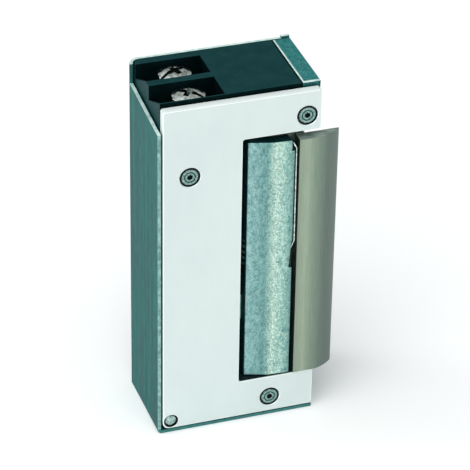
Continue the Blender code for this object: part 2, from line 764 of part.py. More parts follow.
def build_keeper_details():
    """Pin, return spring, lip screws and the lock wire in the slit."""
    low, high = KEEPER_Z
    pin_low = NOTCH_BOTTOM - 0.8 * MM
    pin = rod("keeper_pin", PIN_R, (PIN_X, PIN_DEEP, pin_low), SHELF_TOP - pin_low, "z", NICKEL)
    start = KEEPER_SPRING_Z + 0.6 * MM
    rise = SPRING_GAP_HIGH - 1.2 * MM
    reach = PIN_X - (WEB_X + WEB_T) - GAP - SPRING_WIRE_R
    spring = coil(
        "keeper_spring", Matrix.Translation((PIN_X, PIN_DEEP, start)), KEEPER_COIL_R, rise, 5.75,
        SPRING_WIRE_R, NICKEL,
        starts=[(KEEPER_COIL_R, -1.2 * MM, 0)],
        ends=[(-reach, -KEEPER_COIL_R + 0.1 * MM, rise)],
    )
    screws = []
    for i, name in enumerate(("lower", "upper")):
        screws.append(build_lip_screw(name, low + LIP_SCREW_LOW + LIP_SCREW_APART * i))
    x = KEEPER_END + SLIT / 2
    path = [
        (KEEPER_END - 0.1 * MM, 1.2 * MM, low + 25.2 * MM),
        (KEEPER_END - 0.1 * MM, 0.4 * MM, low + 26.0 * MM),
        (x, 0.1 * MM, low + 27.6 * MM),
        (x, 0.1 * MM, high - 1.7 * MM),
        (KEEPER_END - 0.1 * MM, 0.6 * MM, high - 0.9 * MM),
    ]
    wire = wire_piece("lock_wire", path, WIRE_R, NICKEL)
    return pin, [spring, wire, *screws]


def build_lever():
    """Locking lever: hub at its foot, a strip up the coil side and a finger behind the tail."""
    right = LEVER_X + LEVER_W
    finger = PIN_X - HUB_R - 0.1 * MM
    low, high = TAIL_Z - FINGER_MARGIN, TAIL_Z + TAIL_HIGH + FINGER_MARGIN
    corners = [
        (LEVER_X, LEVER_PIVOT_Z), (right, LEVER_PIVOT_Z), (right, low), (finger, low),
        (finger, high), (right, high), (right, LEVER_TOP), (LEVER_X, LEVER_TOP),
    ]
    outline = rounded(corners, [0, 0, 0.5 * MM, 0.4 * MM, 0.4 * MM, 0.5 * MM, MM, MM], 4)
    lever = prism("locking_lever", outline, "y", LEVER_Y, LEVER_Y + LEVER_T, DARK)
    hub_x = LEVER_X - GAP
    start = (hub_x, PIVOT_Y, LEVER_PIVOT_Z)
    join(lever, rod("add_lever_hub", LEVER_HUB_R, start, WEB_X - GAP - hub_x, "x", sides=24))
    cut(lever, rod("cut_lever_pin", LEVER_PIN_R + FIT, (0, *start[1:]), WEB_X + MM, "x", sides=24))
    smooth(lever)
    on_pivot(lever, start)
    return lever


def build_lever_fittings():
    """The lever's pivot pin and the spring that brings it back."""
    pin_x = INNER + 0.9 * MM
    start = (pin_x, PIVOT_Y, LEVER_PIVOT_Z)
    rod("lever_pin", LEVER_PIN_R, start, WEB_X + WEB_T - pin_x, "x", NICKEL, sides=24)
    low = LEVER_Y + LEVER_T + GAP + SPRING_WIRE_R
    high = BODY_D - SHEET - GAP - SPRING_WIRE_R
    spot = (LEVER_X + LEVER_W / 2, low, (LEVER_PIVOT_Z + TAIL_Z) / 2 + 1.5 * MM)
    place = Matrix.Translation(spot) @ ALONG["y"]
    coil("lever_spring", place, LEVER_COIL_R, high - low, 8, SPRING_WIRE_R, NICKEL, per_turn=10)


def build_armature():
    """Hinged plate below the coil, and the catch that hangs from it beside the lever."""
    low_y = MID_Y - YOKE_W / 2 + GAP + 0.1 * MM
    high_y = MID_Y + YOKE_W / 2 - GAP - 0.1 * MM
    plate = box(
        "armature", (HINGE_X, low_y, ARM_TOP - ARM_T), (HINGE_X + ARM_LONG, high_y, ARM_TOP), IRON
    )
    start = (HINGE_X, low_y, HINGE_Z)
    join(plate, rod("add_knuckle", KNUCKLE_R, start, high_y - low_y, "y", sides=24))
    cut(plate, rod("cut_knuckle", ARM_PIN_R + FIT, (HINGE_X, 0, HINGE_Z), BODY_D, "y", sides=20))
    smooth(plate)
    flange_top = ARM_TOP - ARM_T - GAP
    left = INNER + 0.4 * MM
    bottom = HINGE_Z - CATCH_DROP
    corners = [
        (left, bottom), (left + CATCH_T + CATCH_TAB_LONG, bottom),
        (left + CATCH_T + CATCH_TAB_LONG, bottom + CATCH_TAB_HIGH),
        (left + CATCH_T, bottom + CATCH_TAB_HIGH), (left + CATCH_T, flange_top - CATCH_T),
        (left + CATCH_FLANGE, flange_top - CATCH_T), (left + CATCH_FLANGE, flange_top),
        (KNUCKLE_R + HINGE_X + GAP, flange_top), (left, flange_top - 1.2 * MM),
    ]
    catch = prism("armature_catch", corners, "y", CATCH_Y, CATCH_Y + CATCH_W, DARK)
    pivot = axis_empty("armature_axis", (HINGE_X, MID_Y, HINGE_Z))
    hang_on(pivot, plate, catch)
    ear_y = MID_Y - YOKE_W / 2 - EAR_T
    pin_long = YOKE_W + 2 * EAR_T
    rod("armature_pin", ARM_PIN_R, (HINGE_X, ear_y, HINGE_Z), pin_long, "y", NICKEL, sides=20)
    peg_top = TAIL_Z + 7.8 * MM
    low = peg_top + GAP + SPRING_WIRE_R
    rise = ARM_TOP - ARM_T - GAP - SPRING_WIRE_R - low
    place = Matrix.Translation((ARM_SPRING_X, MID_Y, low))
    coil("armature_spring", place, ARM_COIL_R, rise, 7, SPRING_WIRE_R, NICKEL, per_turn=10)


def build_magnet():
    """Yoke, core, bobbin and winding."""
    low_y = MID_Y - YOKE_W / 2
    high_y = MID_Y + YOKE_W / 2
    left = INNER + 0.1 * MM
    yoke_low = CORE_Z
    top_low = YOKE_TOP - YOKE_T
    yoke = box("coil_yoke", (left, low_y, yoke_low), (left + YOKE_T, high_y, YOKE_TOP), IRON)
    join(yoke, box("add_yoke_top", (left, low_y, top_low), (WEB_X - GAP, high_y, YOKE_TOP)))
    for name, y in (("front", low_y - EAR_T), ("rear", high_y)):
        ear = box(
            "add_yoke_ear_" + name, (left, y - (0.1 * MM if y > MID_Y else 0), HINGE_Z - 1.3 * MM),
            (left + 2.1 * MM, y + EAR_T + (0.1 * MM if y < MID_Y else 0), yoke_low + 2 * MM),
        )
        join(yoke, ear)
    cut(
        yoke,
        rod("cut_yoke_pin", ARM_PIN_R + FIT, (HINGE_X, 0, HINGE_Z), BODY_D, "y", sides=20),
        rod("cut_yoke_spigot", SPIGOT_R + FIT, (COIL_X, MID_Y, top_low - MM), 4 * MM, "z"),
    )
    smooth(yoke)
    place = Matrix.Translation((COIL_X, MID_Y, 0))
    bobbin_top = top_low - GAP
    bobbin_low = bobbin_top - COIL_HIGH
    core = [
        (0, YOKE_TOP), (SPIGOT_R, YOKE_TOP), (SPIGOT_R, bobbin_top), (CORE_R, bobbin_top),
        (CORE_R, CORE_Z), (0, CORE_Z),
    ]
    turned("coil_core", core, place, IRON)
    bore = CORE_R + FIT
    tube = bore + TUBE_T
    bobbin = [
        (bore, bobbin_top), (FLANGE_R, bobbin_top), (FLANGE_R, bobbin_top - FLANGE_T),
        (tube, bobbin_top - FLANGE_T), (tube, bobbin_low + FLANGE_T),
        (FLANGE_R, bobbin_low + FLANGE_T), (FLANGE_R, bobbin_low), (bore, bobbin_low),
    ]
    turned("coil_bobbin", bobbin, place, NYLON, closed=True)
    high = bobbin_top - FLANGE_T - GAP
    low = bobbin_low + FLANGE_T + GAP
    inner = tube + GAP
    winding = [(inner, high), (WINDING_R, high), (WINDING_R, low), (inner, low)]
    turned("coil_winding", winding, place, COPPER, closed=True)


def build_lead(side):
    """Winding end from the terminal's collar down through the shelf to the winding."""
    front = side == "front"
    sign = -1 if front else 1
    y = FRONT + 1.1 * MM if front else BACK - 1.7 * MM
    x = WEB_X - 2.4 * MM
    collar_low = WELL_Z + GAP - COLLAR_LONG
    reach = WINDING_R + GAP + LEAD_R
    spot = TERMINAL_Y[side]
    path = [
        (TERMINAL_X + 1.8 * MM, spot, collar_low - GAP - LEAD_R),
        (TERMINAL_X + 2.4 * MM, spot, BLOCK_Z - MM),
        (x, y, MID_SHELF[1] + 1.2 * MM),
        (x, y, MID_SHELF[0] - 2.2 * MM),
        (x - MM, MID_Y + sign * (reach + 0.5 * MM), MID_SHELF[0] - 4 * MM),
        (COIL_X + 0.6 * MM, MID_Y + sign * reach, MID_SHELF[0] - 5.5 * MM),
    ]
    return wire_piece("coil_lead_" + side, path, LEAD_R, COPPER)


def build_block():
    """Black terminal block with two wells whose left ends ramp down for the wires."""
    block = box(
        "terminal_block", (INNER, FRONT, SHELF_TOP + GAP), (LUG_X - GAP, BACK, BODY_H), BLACK
    )
    skirt = box("add_block_skirt", (INNER, FRONT, BLOCK_Z), (WEB_X - GAP, BACK, BODY_H - 4 * MM))
    join(block, skirt)
    upper_x, upper_z = COVER_SCREWS["upper"]
    cut(
        block,
        corner_relief("cut_block_corner", BLOCK_Z - MM, BODY_H + MM),
        box(
            "cut_block_boss", (upper_x - BOSS_R - 0.7 * MM, 0, BLOCK_Z),
            (BODY_W, FRONT + BOSS_DEEP + GAP, upper_z + BOSS_R + 0.6 * MM),
        ),
        rod(
            "cut_block_face_screw", FACE_HOLE_R + 0.6 * MM,
            (LUG_X - 5 * MM, MID_Y, BODY_H - FACE_HOLE_Z), 8 * MM, "x",
        ),
    )
    for side, y in TERMINAL_Y.items():
        low, high = y - WELL_WIDE / 2, y + WELL_WIDE / 2
        ramp = [(low, BODY_H), (low, BODY_H + MM), (high, BODY_H + MM), (high, BODY_H - WELL_RAMP)]
        cut(
            block,
            box(
                "cut_well_" + side, (WELL_LEFT, low, WELL_Z),
                (WELL_LEFT + WELL_LONG, high, BODY_H + MM),
            ),
            prism("cut_ramp_" + side, ramp, "x", -MM, WELL_LEFT + MM),
            rod("cut_collar_" + side, COLLAR_R + GAP, (TERMINAL_X, y, BLOCK_Z - MM), 8 * MM, "z"),
        )
    smooth(block)
    return block


def build_terminal(side):
    """Brass contact, clamp plate and pan head screw of one terminal."""
    y = TERMINAL_Y[side]
    low = WELL_Z + GAP
    half = CLAMP_SIZE / 2
    top = low + CONTACT_T
    contact = box(
        "contact_" + side, (TERMINAL_X - CONTACT_LONG / 2, y - 2.3 * MM, low),
        (TERMINAL_X + CONTACT_LONG / 2, y + 2.3 * MM, top), BRASS,
    )
    collar_low = low - COLLAR_LONG
    join(contact, rod(
        "add_collar_" + side, COLLAR_R, (TERMINAL_X, y, collar_low), COLLAR_LONG + 0.2 * MM, "z"
    ))
    cut(contact, rod(
        "cut_contact_" + side, TERM_SHANK_R + FIT, (TERMINAL_X, y, collar_low - MM), 8 * MM, "z"
    ))
    smooth(contact)
    clamp_low = top + GAP
    clamp = box(
        "wire_clamp_" + side, (TERMINAL_X - half, y - half, clamp_low),
        (TERMINAL_X + half, y + half, clamp_low + CLAMP_T), NICKEL,
    )
    cut(clamp, rod(
        "cut_clamp_" + side, TERM_SHANK_R + FIT, (TERMINAL_X, y, clamp_low - MM), 4 * MM, "z"
    ))
    smooth(clamp)
    on_pivot(clamp, (TERMINAL_X, y, clamp_low))
    head_top = BODY_H - HEAD_BELOW_TOP
    head_low = head_top - HEAD_T
    dome = [
        (HEAD_R * math.sin(math.radians(a)), head_top - HEAD_EDGE * 2 * (1 - math.cos(math.radians(a))))
        for a in (0, 20, 40, 55, 70)
    ]
    profile = dome + [
        (HEAD_R, head_low + 0.2 * MM), (HEAD_R - 0.2 * MM, head_low), (TERM_SHANK_R, head_low),
        (TERM_SHANK_R, head_low - TERM_SHANK_LONG + 0.4 * MM),
        (TERM_SHANK_R - 0.4 * MM, head_low - TERM_SHANK_LONG), (0, head_low - TERM_SHANK_LONG),
    ]
    screw = turned("terminal_screw_" + side, profile, Matrix.Translation((TERMINAL_X, y, 0)), NICKEL)
    slot = box(
        "cut_slot_" + side, (TERMINAL_X - 2.2 * MM, y - 0.35 * MM, head_top - 1.1 * MM),
        (TERMINAL_X + 2.2 * MM, y + 0.35 * MM, head_top + MM),
    )
    cross = box(
        "cut_cross_" + side, (TERMINAL_X - 0.35 * MM, y - 1.5 * MM, head_top - 1.2 * MM),
        (TERMINAL_X + 0.35 * MM, y + 1.5 * MM, head_top + MM),
    )
    cut(screw, slot, cross)


build_case()
build_cover_plate()
for screw_name, (screw_x, screw_z) in COVER_SCREWS.items():
    build_cover_screw(screw_name, screw_x, screw_z)
build_corner_rivet()
build_frame()
keeper_pin, keeper_small = build_keeper_details()
keeper_axis = axis_empty("keeper_axis", (PIN_X, PIN_DEEP, KEEPER_Z[0]))
hang_on(keeper_axis, build_keeper(), build_lip(), *keeper_small)
build_lever()
build_lever_fittings()
build_armature()
build_magnet()
build_block()
for terminal_side in TERMINAL_Y:
    build_terminal(terminal_side)
    build_lead(terminal_side)
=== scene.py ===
# %% [markdown]
# # Electric door strike
# An electric strike sits in a door frame and holds the door's latch. Its keeper is the hinged
# jaw at the front, a locking lever behind it keeps the jaw shut, and a small coil frees it.
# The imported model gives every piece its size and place, and this lesson gives them their looks:
# rolled sheet edges, cast and brushed metal, grained plastic, and proper screw heads.

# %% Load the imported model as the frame
import json
import math

import bmesh
import bpy
from mathutils import Matrix, Vector


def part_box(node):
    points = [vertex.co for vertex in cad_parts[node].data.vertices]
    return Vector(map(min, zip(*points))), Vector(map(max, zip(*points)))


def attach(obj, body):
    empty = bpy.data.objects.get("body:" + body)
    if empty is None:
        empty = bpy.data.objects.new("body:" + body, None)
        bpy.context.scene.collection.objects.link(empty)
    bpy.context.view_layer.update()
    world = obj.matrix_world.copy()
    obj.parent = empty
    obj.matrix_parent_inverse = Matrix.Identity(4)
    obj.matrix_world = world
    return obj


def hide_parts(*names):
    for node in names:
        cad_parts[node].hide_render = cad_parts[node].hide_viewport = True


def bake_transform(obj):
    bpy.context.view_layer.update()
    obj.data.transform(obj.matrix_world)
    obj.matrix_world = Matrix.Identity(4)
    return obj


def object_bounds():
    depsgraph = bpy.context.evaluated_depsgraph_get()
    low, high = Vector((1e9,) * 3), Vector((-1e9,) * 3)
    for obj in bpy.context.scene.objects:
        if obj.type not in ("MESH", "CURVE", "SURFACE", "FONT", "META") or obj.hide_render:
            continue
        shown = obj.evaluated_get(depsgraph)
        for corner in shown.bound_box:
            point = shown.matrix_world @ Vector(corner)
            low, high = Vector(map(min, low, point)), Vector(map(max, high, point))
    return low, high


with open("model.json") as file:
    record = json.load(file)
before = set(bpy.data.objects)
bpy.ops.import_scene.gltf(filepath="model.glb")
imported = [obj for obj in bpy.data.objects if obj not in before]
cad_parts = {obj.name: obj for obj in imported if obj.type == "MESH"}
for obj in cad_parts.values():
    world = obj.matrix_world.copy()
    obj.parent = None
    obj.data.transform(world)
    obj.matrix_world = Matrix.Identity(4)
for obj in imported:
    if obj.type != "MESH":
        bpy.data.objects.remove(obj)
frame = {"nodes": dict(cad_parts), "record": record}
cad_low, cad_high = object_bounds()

MM = 0.001
record = frame["record"]
body_of = {node: body for body, nodes in record["behaviour"]["bodies"].items() for node in nodes}

# %% [markdown]
# ## The camera
# The strike is seen from its left front and from above, through a long lens, so the upright
# edges stay nearly parallel. The camera looks at the middle of the body, from a distance along
# one direction that two angles give. A third angle leans it by about one degree.

# %% Set up the camera
AZIMUTH = math.radians(-18.776)
ELEVATION = math.radians(32.34)
LEAN = math.radians(0.965)
DISTANCE = 0.46237
LENS = 202.8


def add_camera():
    """A long lens on the body's middle, leaned a little about its own line of sight."""
    target = (cad_low + cad_high) / 2 + Vector((0.415, -0.275, 0.3)) * MM
    back = Vector((
        math.sin(AZIMUTH) * math.cos(ELEVATION),
        -math.cos(AZIMUTH) * math.cos(ELEVATION),
        math.sin(ELEVATION),
    ))
    data = bpy.data.cameras.new("studio_camera")
    data.lens = LENS
    data.sensor_width = 36
    data.clip_start, data.clip_end = 0.01, 20
    camera = bpy.data.objects.new("studio_camera", data)
    turn = (-back).to_track_quat("-Z", "Y").to_matrix().to_4x4()
    camera.matrix_world = (
        Matrix.Translation(target + back * DISTANCE) @ turn @ Matrix.Rotation(LEAN, 4, "Z")
    )
    bpy.context.scene.collection.objects.link(camera)
    bpy.context.scene.camera = camera
    return camera


camera = add_camera()
print("camera at", [round(v * 1000) for v in camera.location], "mm")

# %% [markdown]
# ## Floor and light
# Small metal parts are mostly mirrors, so what stands round them matters as much as the lamps.
# A pale room lights everything evenly. It is darker to the right and at the back, which gives
# the round surfaces their shading and keeps the top faces deep in colour. One broad lamp at the
# upper left adds the bright lines along the edges.

# %% Floor
FLOOR_RADIUS = 3.0


def add_floor():
    """A round pale floor, wide enough for a view from any side."""
    bm = bmesh.new()
    bmesh.ops.create_circle(bm, cap_ends=True, segments=96, radius=FLOOR_RADIUS)
    mesh = bpy.data.meshes.new("studio_floor")
    bm.to_mesh(mesh)
    bm.free()
    floor = bpy.data.objects.new("studio_floor", mesh)
    bpy.context.scene.collection.objects.link(floor)
    paint = bpy.data.materials.new("studio_white")
    paint.use_nodes = True
    shader = paint.node_tree.nodes["Principled BSDF"]
    shader.inputs["Base Color"].default_value = (0.93, 0.935, 0.935, 1)
    shader.inputs["Roughness"].default_value = 0.9
    shader.inputs["Specular IOR Level"].default_value = 0.1
    mesh.materials.append(paint)
    return floor


add_floor()
print("floor:", FLOOR_RADIUS, "m in radius")

# %% Room
ROOM_BRIGHT = 1.05
ROOM_DIM = 0.38
DIM_SIDE = (0.62, 0.72, 0.1)


def add_room():
    """A pale surrounding that is dimmer towards the right and the back."""
    world = bpy.data.worlds.new("studio_room")
    bpy.context.scene.world = world
    world.use_nodes = True
    tree = world.node_tree
    background = tree.nodes["Background"]
    where = tree.nodes.new("ShaderNodeTexCoord")
    away = tree.nodes.new("ShaderNodeVectorMath")
    away.operation = "DOT_PRODUCT"
    away.inputs[1].default_value = DIM_SIDE
    tree.links.new(where.outputs["Generated"], away.inputs[0])
    shade = tree.nodes.new("ShaderNodeMapRange")
    shade.interpolation_type = "SMOOTHSTEP"
    shade.inputs["From Min"].default_value = -0.1
    shade.inputs["From Max"].default_value = 0.75
    shade.inputs["To Min"].default_value = ROOM_BRIGHT
    shade.inputs["To Max"].default_value = ROOM_DIM
    tree.links.new(away.outputs["Value"], shade.inputs["Value"])
    tree.links.new(shade.outputs["Result"], background.inputs["Strength"])
    background.inputs["Color"].default_value = (0.98, 1.0, 1.0, 1)
    return world


add_room()
print("room:", ROOM_BRIGHT, "on the bright side and", ROOM_DIM, "on the dim one")


# %% Lamps
def add_lamp(name, place, size, watts):
    """A square soft lamp that looks at the middle of the strike."""
    data = bpy.data.lights.new(name, "AREA")
    data.shape = "SQUARE"
    data.size = size
    data.energy = watts
    lamp = bpy.data.objects.new(name, data)
    place = Vector(place)
    aim = (cad_low + cad_high) / 2 - place
    turn = aim.to_track_quat("-Z", "Y").to_matrix().to_4x4()
    lamp.matrix_world = Matrix.Translation(place) @ turn
    bpy.context.scene.collection.objects.link(lamp)
    return lamp


add_lamp("broad_lamp", (-0.4, -0.45, 0.8), 1.0, 5.0)
add_lamp("edge_lamp", (-0.75, 0.35, 0.5), 0.3, 1.5)
bpy.context.scene.view_settings.view_transform = "Standard"
print("lamps:", len(bpy.data.lights))

# %% [markdown]
# ## Small tools for finishes
# A finish starts from one metal or plastic shader. Its colour is never even: noise read in
# Object coordinates, which are metres here, breaks it up at a size given in millimetres, and
# the same noise lifts the surface a little. Stretching the noise one way makes it a brushed or
# drawn surface. Colours are written as the eye sees them and turned to light values once.

# %% Tools for finishes
def seen(red, green, blue):
    """A colour as it looks on a screen, 0 to 255, as the light values a shader needs."""
    light = []
    for value in (red, green, blue):
        value /= 255
        light.append(value / 12.92 if value <= 0.04045 else ((value + 0.055) / 1.055) ** 2.4)
    return (*light, 1)


def new_finish(name, metallic, specular=0.5, rim=(1, 1, 1, 1)):
    """A material with one Principled shader. The rim colour is what it reflects at a low angle."""
    material = bpy.data.materials.new(name)
    material.use_nodes = True
    tree = material.node_tree
    shader = tree.nodes["Principled BSDF"]
    shader.inputs["Metallic"].default_value = metallic
    shader.inputs["Specular IOR Level"].default_value = specular
    shader.inputs["Specular Tint"].default_value = rim
    return material, tree, shader


def grain(tree, size, stretch=(1, 1, 1), detail=3, roughness=0.55, seed=0.0):
    """Noise whose features are about size millimetres, longer along a stretched axis."""
    where = tree.nodes.new("ShaderNodeTexCoord")
    place = tree.nodes.new("ShaderNodeMapping")
    place.inputs["Location"].default_value = (seed, seed * 1.7, seed * 0.6)
    place.inputs["Scale"].default_value = [1 / (size * MM * s) for s in stretch]
    noise = tree.nodes.new("ShaderNodeTexNoise")
    noise.inputs["Scale"].default_value = 1
    noise.inputs["Detail"].default_value = detail
    noise.inputs["Roughness"].default_value = roughness
    tree.links.new(where.outputs["Object"], place.inputs["Vector"])
    tree.links.new(place.outputs["Vector"], noise.inputs["Vector"])
    return noise.outputs["Fac"]


print("finish tools: seen, new_finish and grain")


# %% Tools that turn a noise into colours, numbers and relief
def tint(tree, source, *stops):
    """A colour ramp over a noise: each stop is its place from 0 to 1 and a colour."""
    ramp = tree.nodes.new("ShaderNodeValToRGB")
    bands = ramp.color_ramp.elements
    while len(bands) < len(stops):
        bands.new(0.5)
    for band, (place, colour) in zip(bands, stops):
        band.position = place
        band.color = colour
    tree.links.new(source, ramp.inputs["Fac"])
    return ramp.outputs["Color"]


def spread(tree, source, low, high, start=0.3, end=0.7):
    """A noise turned into a number between low and high."""
    reach = tree.nodes.new("ShaderNodeMapRange")
    reach.inputs["From Min"].default_value = start
    reach.inputs["From Max"].default_value = end
    reach.inputs["To Min"].default_value = low
    reach.inputs["To Max"].default_value = high
    tree.links.new(source, reach.inputs["Value"])
    return reach.outputs["Result"]


def blend(tree, amount, first, second, way="MIX"):
    """Two colours, mixed by a number or by another pattern."""
    mixer = tree.nodes.new("ShaderNodeMix")
    mixer.data_type = "RGBA"
    mixer.blend_type = way
    for place, value in ((0, amount), (6, first), (7, second)):
        socket = mixer.inputs[place]
        if isinstance(value, bpy.types.NodeSocket):
            tree.links.new(value, socket)
        else:
            socket.default_value = value
    return mixer.outputs[2]


def lift(tree, shader, source, height, strength=1.0, under=None):
    """Raises the surface by a noise; height is in millimetres. Lifts stack on the one under."""
    bump = tree.nodes.new("ShaderNodeBump")
    bump.inputs["Distance"].default_value = height * MM
    bump.inputs["Strength"].default_value = strength
    tree.links.new(source, bump.inputs["Height"])
    if under is not None:
        tree.links.new(under, bump.inputs["Normal"])
    tree.links.new(bump.outputs["Normal"], shader.inputs["Normal"])
    return bump.outputs["Normal"]


print("pattern tools: tint, spread, blend and lift")


# %% [markdown]
# ## Drawn zinc sheet
# The case is thin sheet with a bluish zinc coat. Rolling drew fine lines down its height, and
# handling left cloudy grey and violet patches. Its sheared edges show barer metal, so they have a
# finish of their own, in a bright copy that adds a painted highlight and a dull copy that is
# painted shade.

# %% Zinc sheet and its sheared edge
def make_zinc_sheet():
    material, tree, shader = new_finish("drawn_zinc_sheet", 0.7, 0.3, seen(90, 120, 120))
    lines = grain(tree, 0.7, (1, 1, 60), detail=3, roughness=0.5)
    drawn = tint(
        tree, lines, (0.3, seen(52, 116, 112)), (0.5, seen(61, 127, 121)), (0.7, seen(74, 138, 131))
    )
    cloud = grain(tree, 3.6, (1, 1, 3.4), detail=4, seed=3.1)
    violet = spread(tree, cloud, 0, 0.6, 0.38, 0.7)
    patched = blend(tree, violet, drawn, seen(84, 112, 122))
    spots = spread(tree, grain(tree, 0.9, (1, 1, 3), seed=7.7), 0.88, 1.1, 0.3, 0.7)
    shade = tree.nodes.new("ShaderNodeCombineColor")
    for channel in range(3):
        tree.links.new(spots, shade.inputs[channel])
    colour = blend(tree, 1.0, patched, shade.outputs["Color"], "MULTIPLY")
    tree.links.new(colour, shader.inputs["Base Color"])
    tree.links.new(spread(tree, lines, 0.3, 0.5), shader.inputs["Roughness"])
    under = lift(tree, shader, lines, 0.006, 0.5)
    lift(tree, shader, grain(tree, 0.12, seed=1.9), 0.006, 0.5, under)
    return material


def make_sheared_edge(name, dark, light):
    material, tree, shader = new_finish(name, 0.3)
    scores = grain(tree, 0.9, detail=4)
    colour = tint(tree, scores, (0.3, dark), (0.65, light))
    tree.links.new(colour, shader.inputs["Base Color"])
    tree.links.new(spread(tree, scores, 0.25, 0.45), shader.inputs["Roughness"])
    lift(tree, shader, scores, 0.01, 0.6)
    return material


zinc_sheet = make_zinc_sheet()
# Two copies of the sheared-edge finish: bare metal with a painted highlight, and a dull one that is
# painted shade.
bare_edge_with_highlight = make_sheared_edge("sheared_zinc_edge_and_highlight", seen(176, 212, 206), seen(226, 244, 238))
edge_in_painted_shade = make_sheared_edge("sheared_edge_painted_shade", seen(70, 118, 116), seen(146, 186, 180))
print("finishes:", zinc_sheet.name, bare_edge_with_highlight.name, edge_in_painted_shade.name)

# %% [markdown]
# ## Satin plate
# The cover plate looks almost white: it is fine satin nickel that shows the pale room. Its
# brushing is so fine that it only spreads the light, with a faint cloudiness left over. Its rim
# bevels and top face take a brighter copy of the finish, a painted highlight.

# %% Satin cover plate
def make_satin_plate(name, dark, light):
    material, tree, shader = new_finish(name, 0.35)
    brushing = grain(tree, 0.06, (1, 1, 40), detail=3)
    cloud = grain(tree, 7.0, (1, 1, 2), detail=2, seed=2.2)
    colour = tint(tree, cloud, (0.3, dark), (0.7, light))
    fine = tint(tree, brushing, (0.3, seen(250, 251, 251)), (0.7, seen(255, 255, 255)))
    tree.links.new(blend(tree, 1.0, colour, fine, "MULTIPLY"), shader.inputs["Base Color"])
    tree.links.new(spread(tree, brushing, 0.34, 0.46), shader.inputs["Roughness"])
    lift(tree, shader, brushing, 0.003, 0.4)
    return material


satin_plate = make_satin_plate("satin_nickel_plate", seen(203, 215, 213), seen(208, 219, 217))
# A brighter copy of the satin finish: a painted highlight for the plate's rim bevels and top face.
rim_highlight = make_satin_plate("nickel_rim_painted_highlight", seen(236, 246, 244), seen(244, 252, 250))
print("finishes:", satin_plate.name, rim_highlight.name)

# %% [markdown]
# ## Cast zinc
# The keeper and the inner frame are die castings. Tumbling leaves a speckled skin: small bright
# grains on a mottled ground. The frame keeps its bluish coat, while the keeper is paler. Across its
# two facets the keeper's colour carries painted light: a painted shade at the crease and a painted
# highlight just right of it, with more bright grains there.

# %% Cast zinc for the frame
def make_casting(name, dark, middle, light, speck, seed):
    """Mottled ground of three colours, as a plain version and one with many bright specks."""
    material, tree, shader = new_finish(name, 0.9)
    ground = grain(tree, 0.8, (1, 1, 1.8), detail=5, roughness=0.75, seed=seed)
    colour = tint(tree, ground, (0.33, dark), (0.5, middle), (0.66, light))
    specks = grain(tree, 0.26, (1, 1, 1.4), detail=3, roughness=0.7, seed=seed + 4)
    plain = blend(tree, spread(tree, specks, 0, 0.45, 0.48, 0.64), colour, speck)
    colour = blend(tree, spread(tree, specks, 0, 0.95, 0.46, 0.62), colour, speck)
    tree.links.new(spread(tree, ground, 0.5, 0.34), shader.inputs["Roughness"])
    under = lift(tree, shader, ground, 0.03, 0.4)
    lift(tree, shader, specks, 0.02, 0.7, under)
    return material, tree, shader, plain, colour


def make_frame_casting():
    material, tree, shader, plain, _ = make_casting(
        "blue_coated_casting", seen(22, 124, 126), seen(40, 150, 150),
        seen(68, 174, 170), seen(140, 216, 210), 1.3,
    )
    tree.links.new(plain, shader.inputs["Base Color"])
    return material


frame_casting = make_frame_casting()
print("finish:", frame_casting.name)


# %% A colour that changes across the strike
def across(tree, *stops):
    """A colour that changes across the strike: each stop is a place along X and a colour."""
    where = tree.nodes.new("ShaderNodeTexCoord")
    split = tree.nodes.new("ShaderNodeSeparateXYZ")
    tree.links.new(where.outputs["Object"], split.inputs["Vector"])
    first, last = stops[0][0], stops[-1][0]
    share = spread(tree, split.outputs["X"], 0, 1, first, last)
    return tint(tree, share, *[((place - first) / (last - first), c) for place, c in stops])


print("pattern tool: across")

# %% Cast zinc for the keeper
HIDDEN_BY_PLATE = 2.25


def make_keeper_casting():
    material, tree, shader, plain, colour = make_casting(
        "keeper_casting_painted_light", seen(116, 158, 158), seen(158, 196, 194),
        seen(196, 224, 220), seen(246, 252, 246), 5.2,
    )
    low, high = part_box("keeper_body")
    left, right = low.x + HIDDEN_BY_PLATE * MM, high.x
    wide = right - left
    # Painted light across the keeper's facets: pale on the left, a painted shade at the crease, a
    # painted highlight just right of it, darker again at the right end.
    facet_light_and_shade = across(
        tree, (left, seen(214, 236, 232)), (left + 0.2 * wide, seen(204, 224, 226)),
        (left + 0.4 * wide, seen(176, 202, 202)), (left + 0.49 * wide, seen(160, 190, 190)),
        (left + 0.56 * wide, seen(196, 214, 206)), (left + 0.66 * wide, seen(240, 246, 236)),
        (left + 0.82 * wide, seen(212, 230, 222)), (right, seen(150, 182, 180)),
    )
    # A larger share of bright grains where the painted highlight falls.
    highlight_zone = across(
        tree, (left, seen(90, 90, 90)), (left + 0.46 * wide, seen(60, 60, 60)),
        (left + 0.64 * wide, seen(250, 250, 250)), (right, seen(170, 170, 170)),
    )
    skin = blend(tree, highlight_zone, plain, colour)
    tree.links.new(blend(tree, 1.0, skin, facet_light_and_shade, "MULTIPLY"), shader.inputs["Base Color"])
    return material


keeper_casting = make_keeper_casting()
print("finish:", keeper_casting.name)

# %% [markdown]
# ## Brushed stainless steel
# The lip is stainless steel, brushed lengthways. Long thin scratches come from noise stretched
# far along Z. The warm grey is the metal's own colour; across the curved lip it carries a painted
# highlight near the left and painted shade that deepens to the right.

# %% Stainless lip
LIP_FRONT_WIDE = 7.7


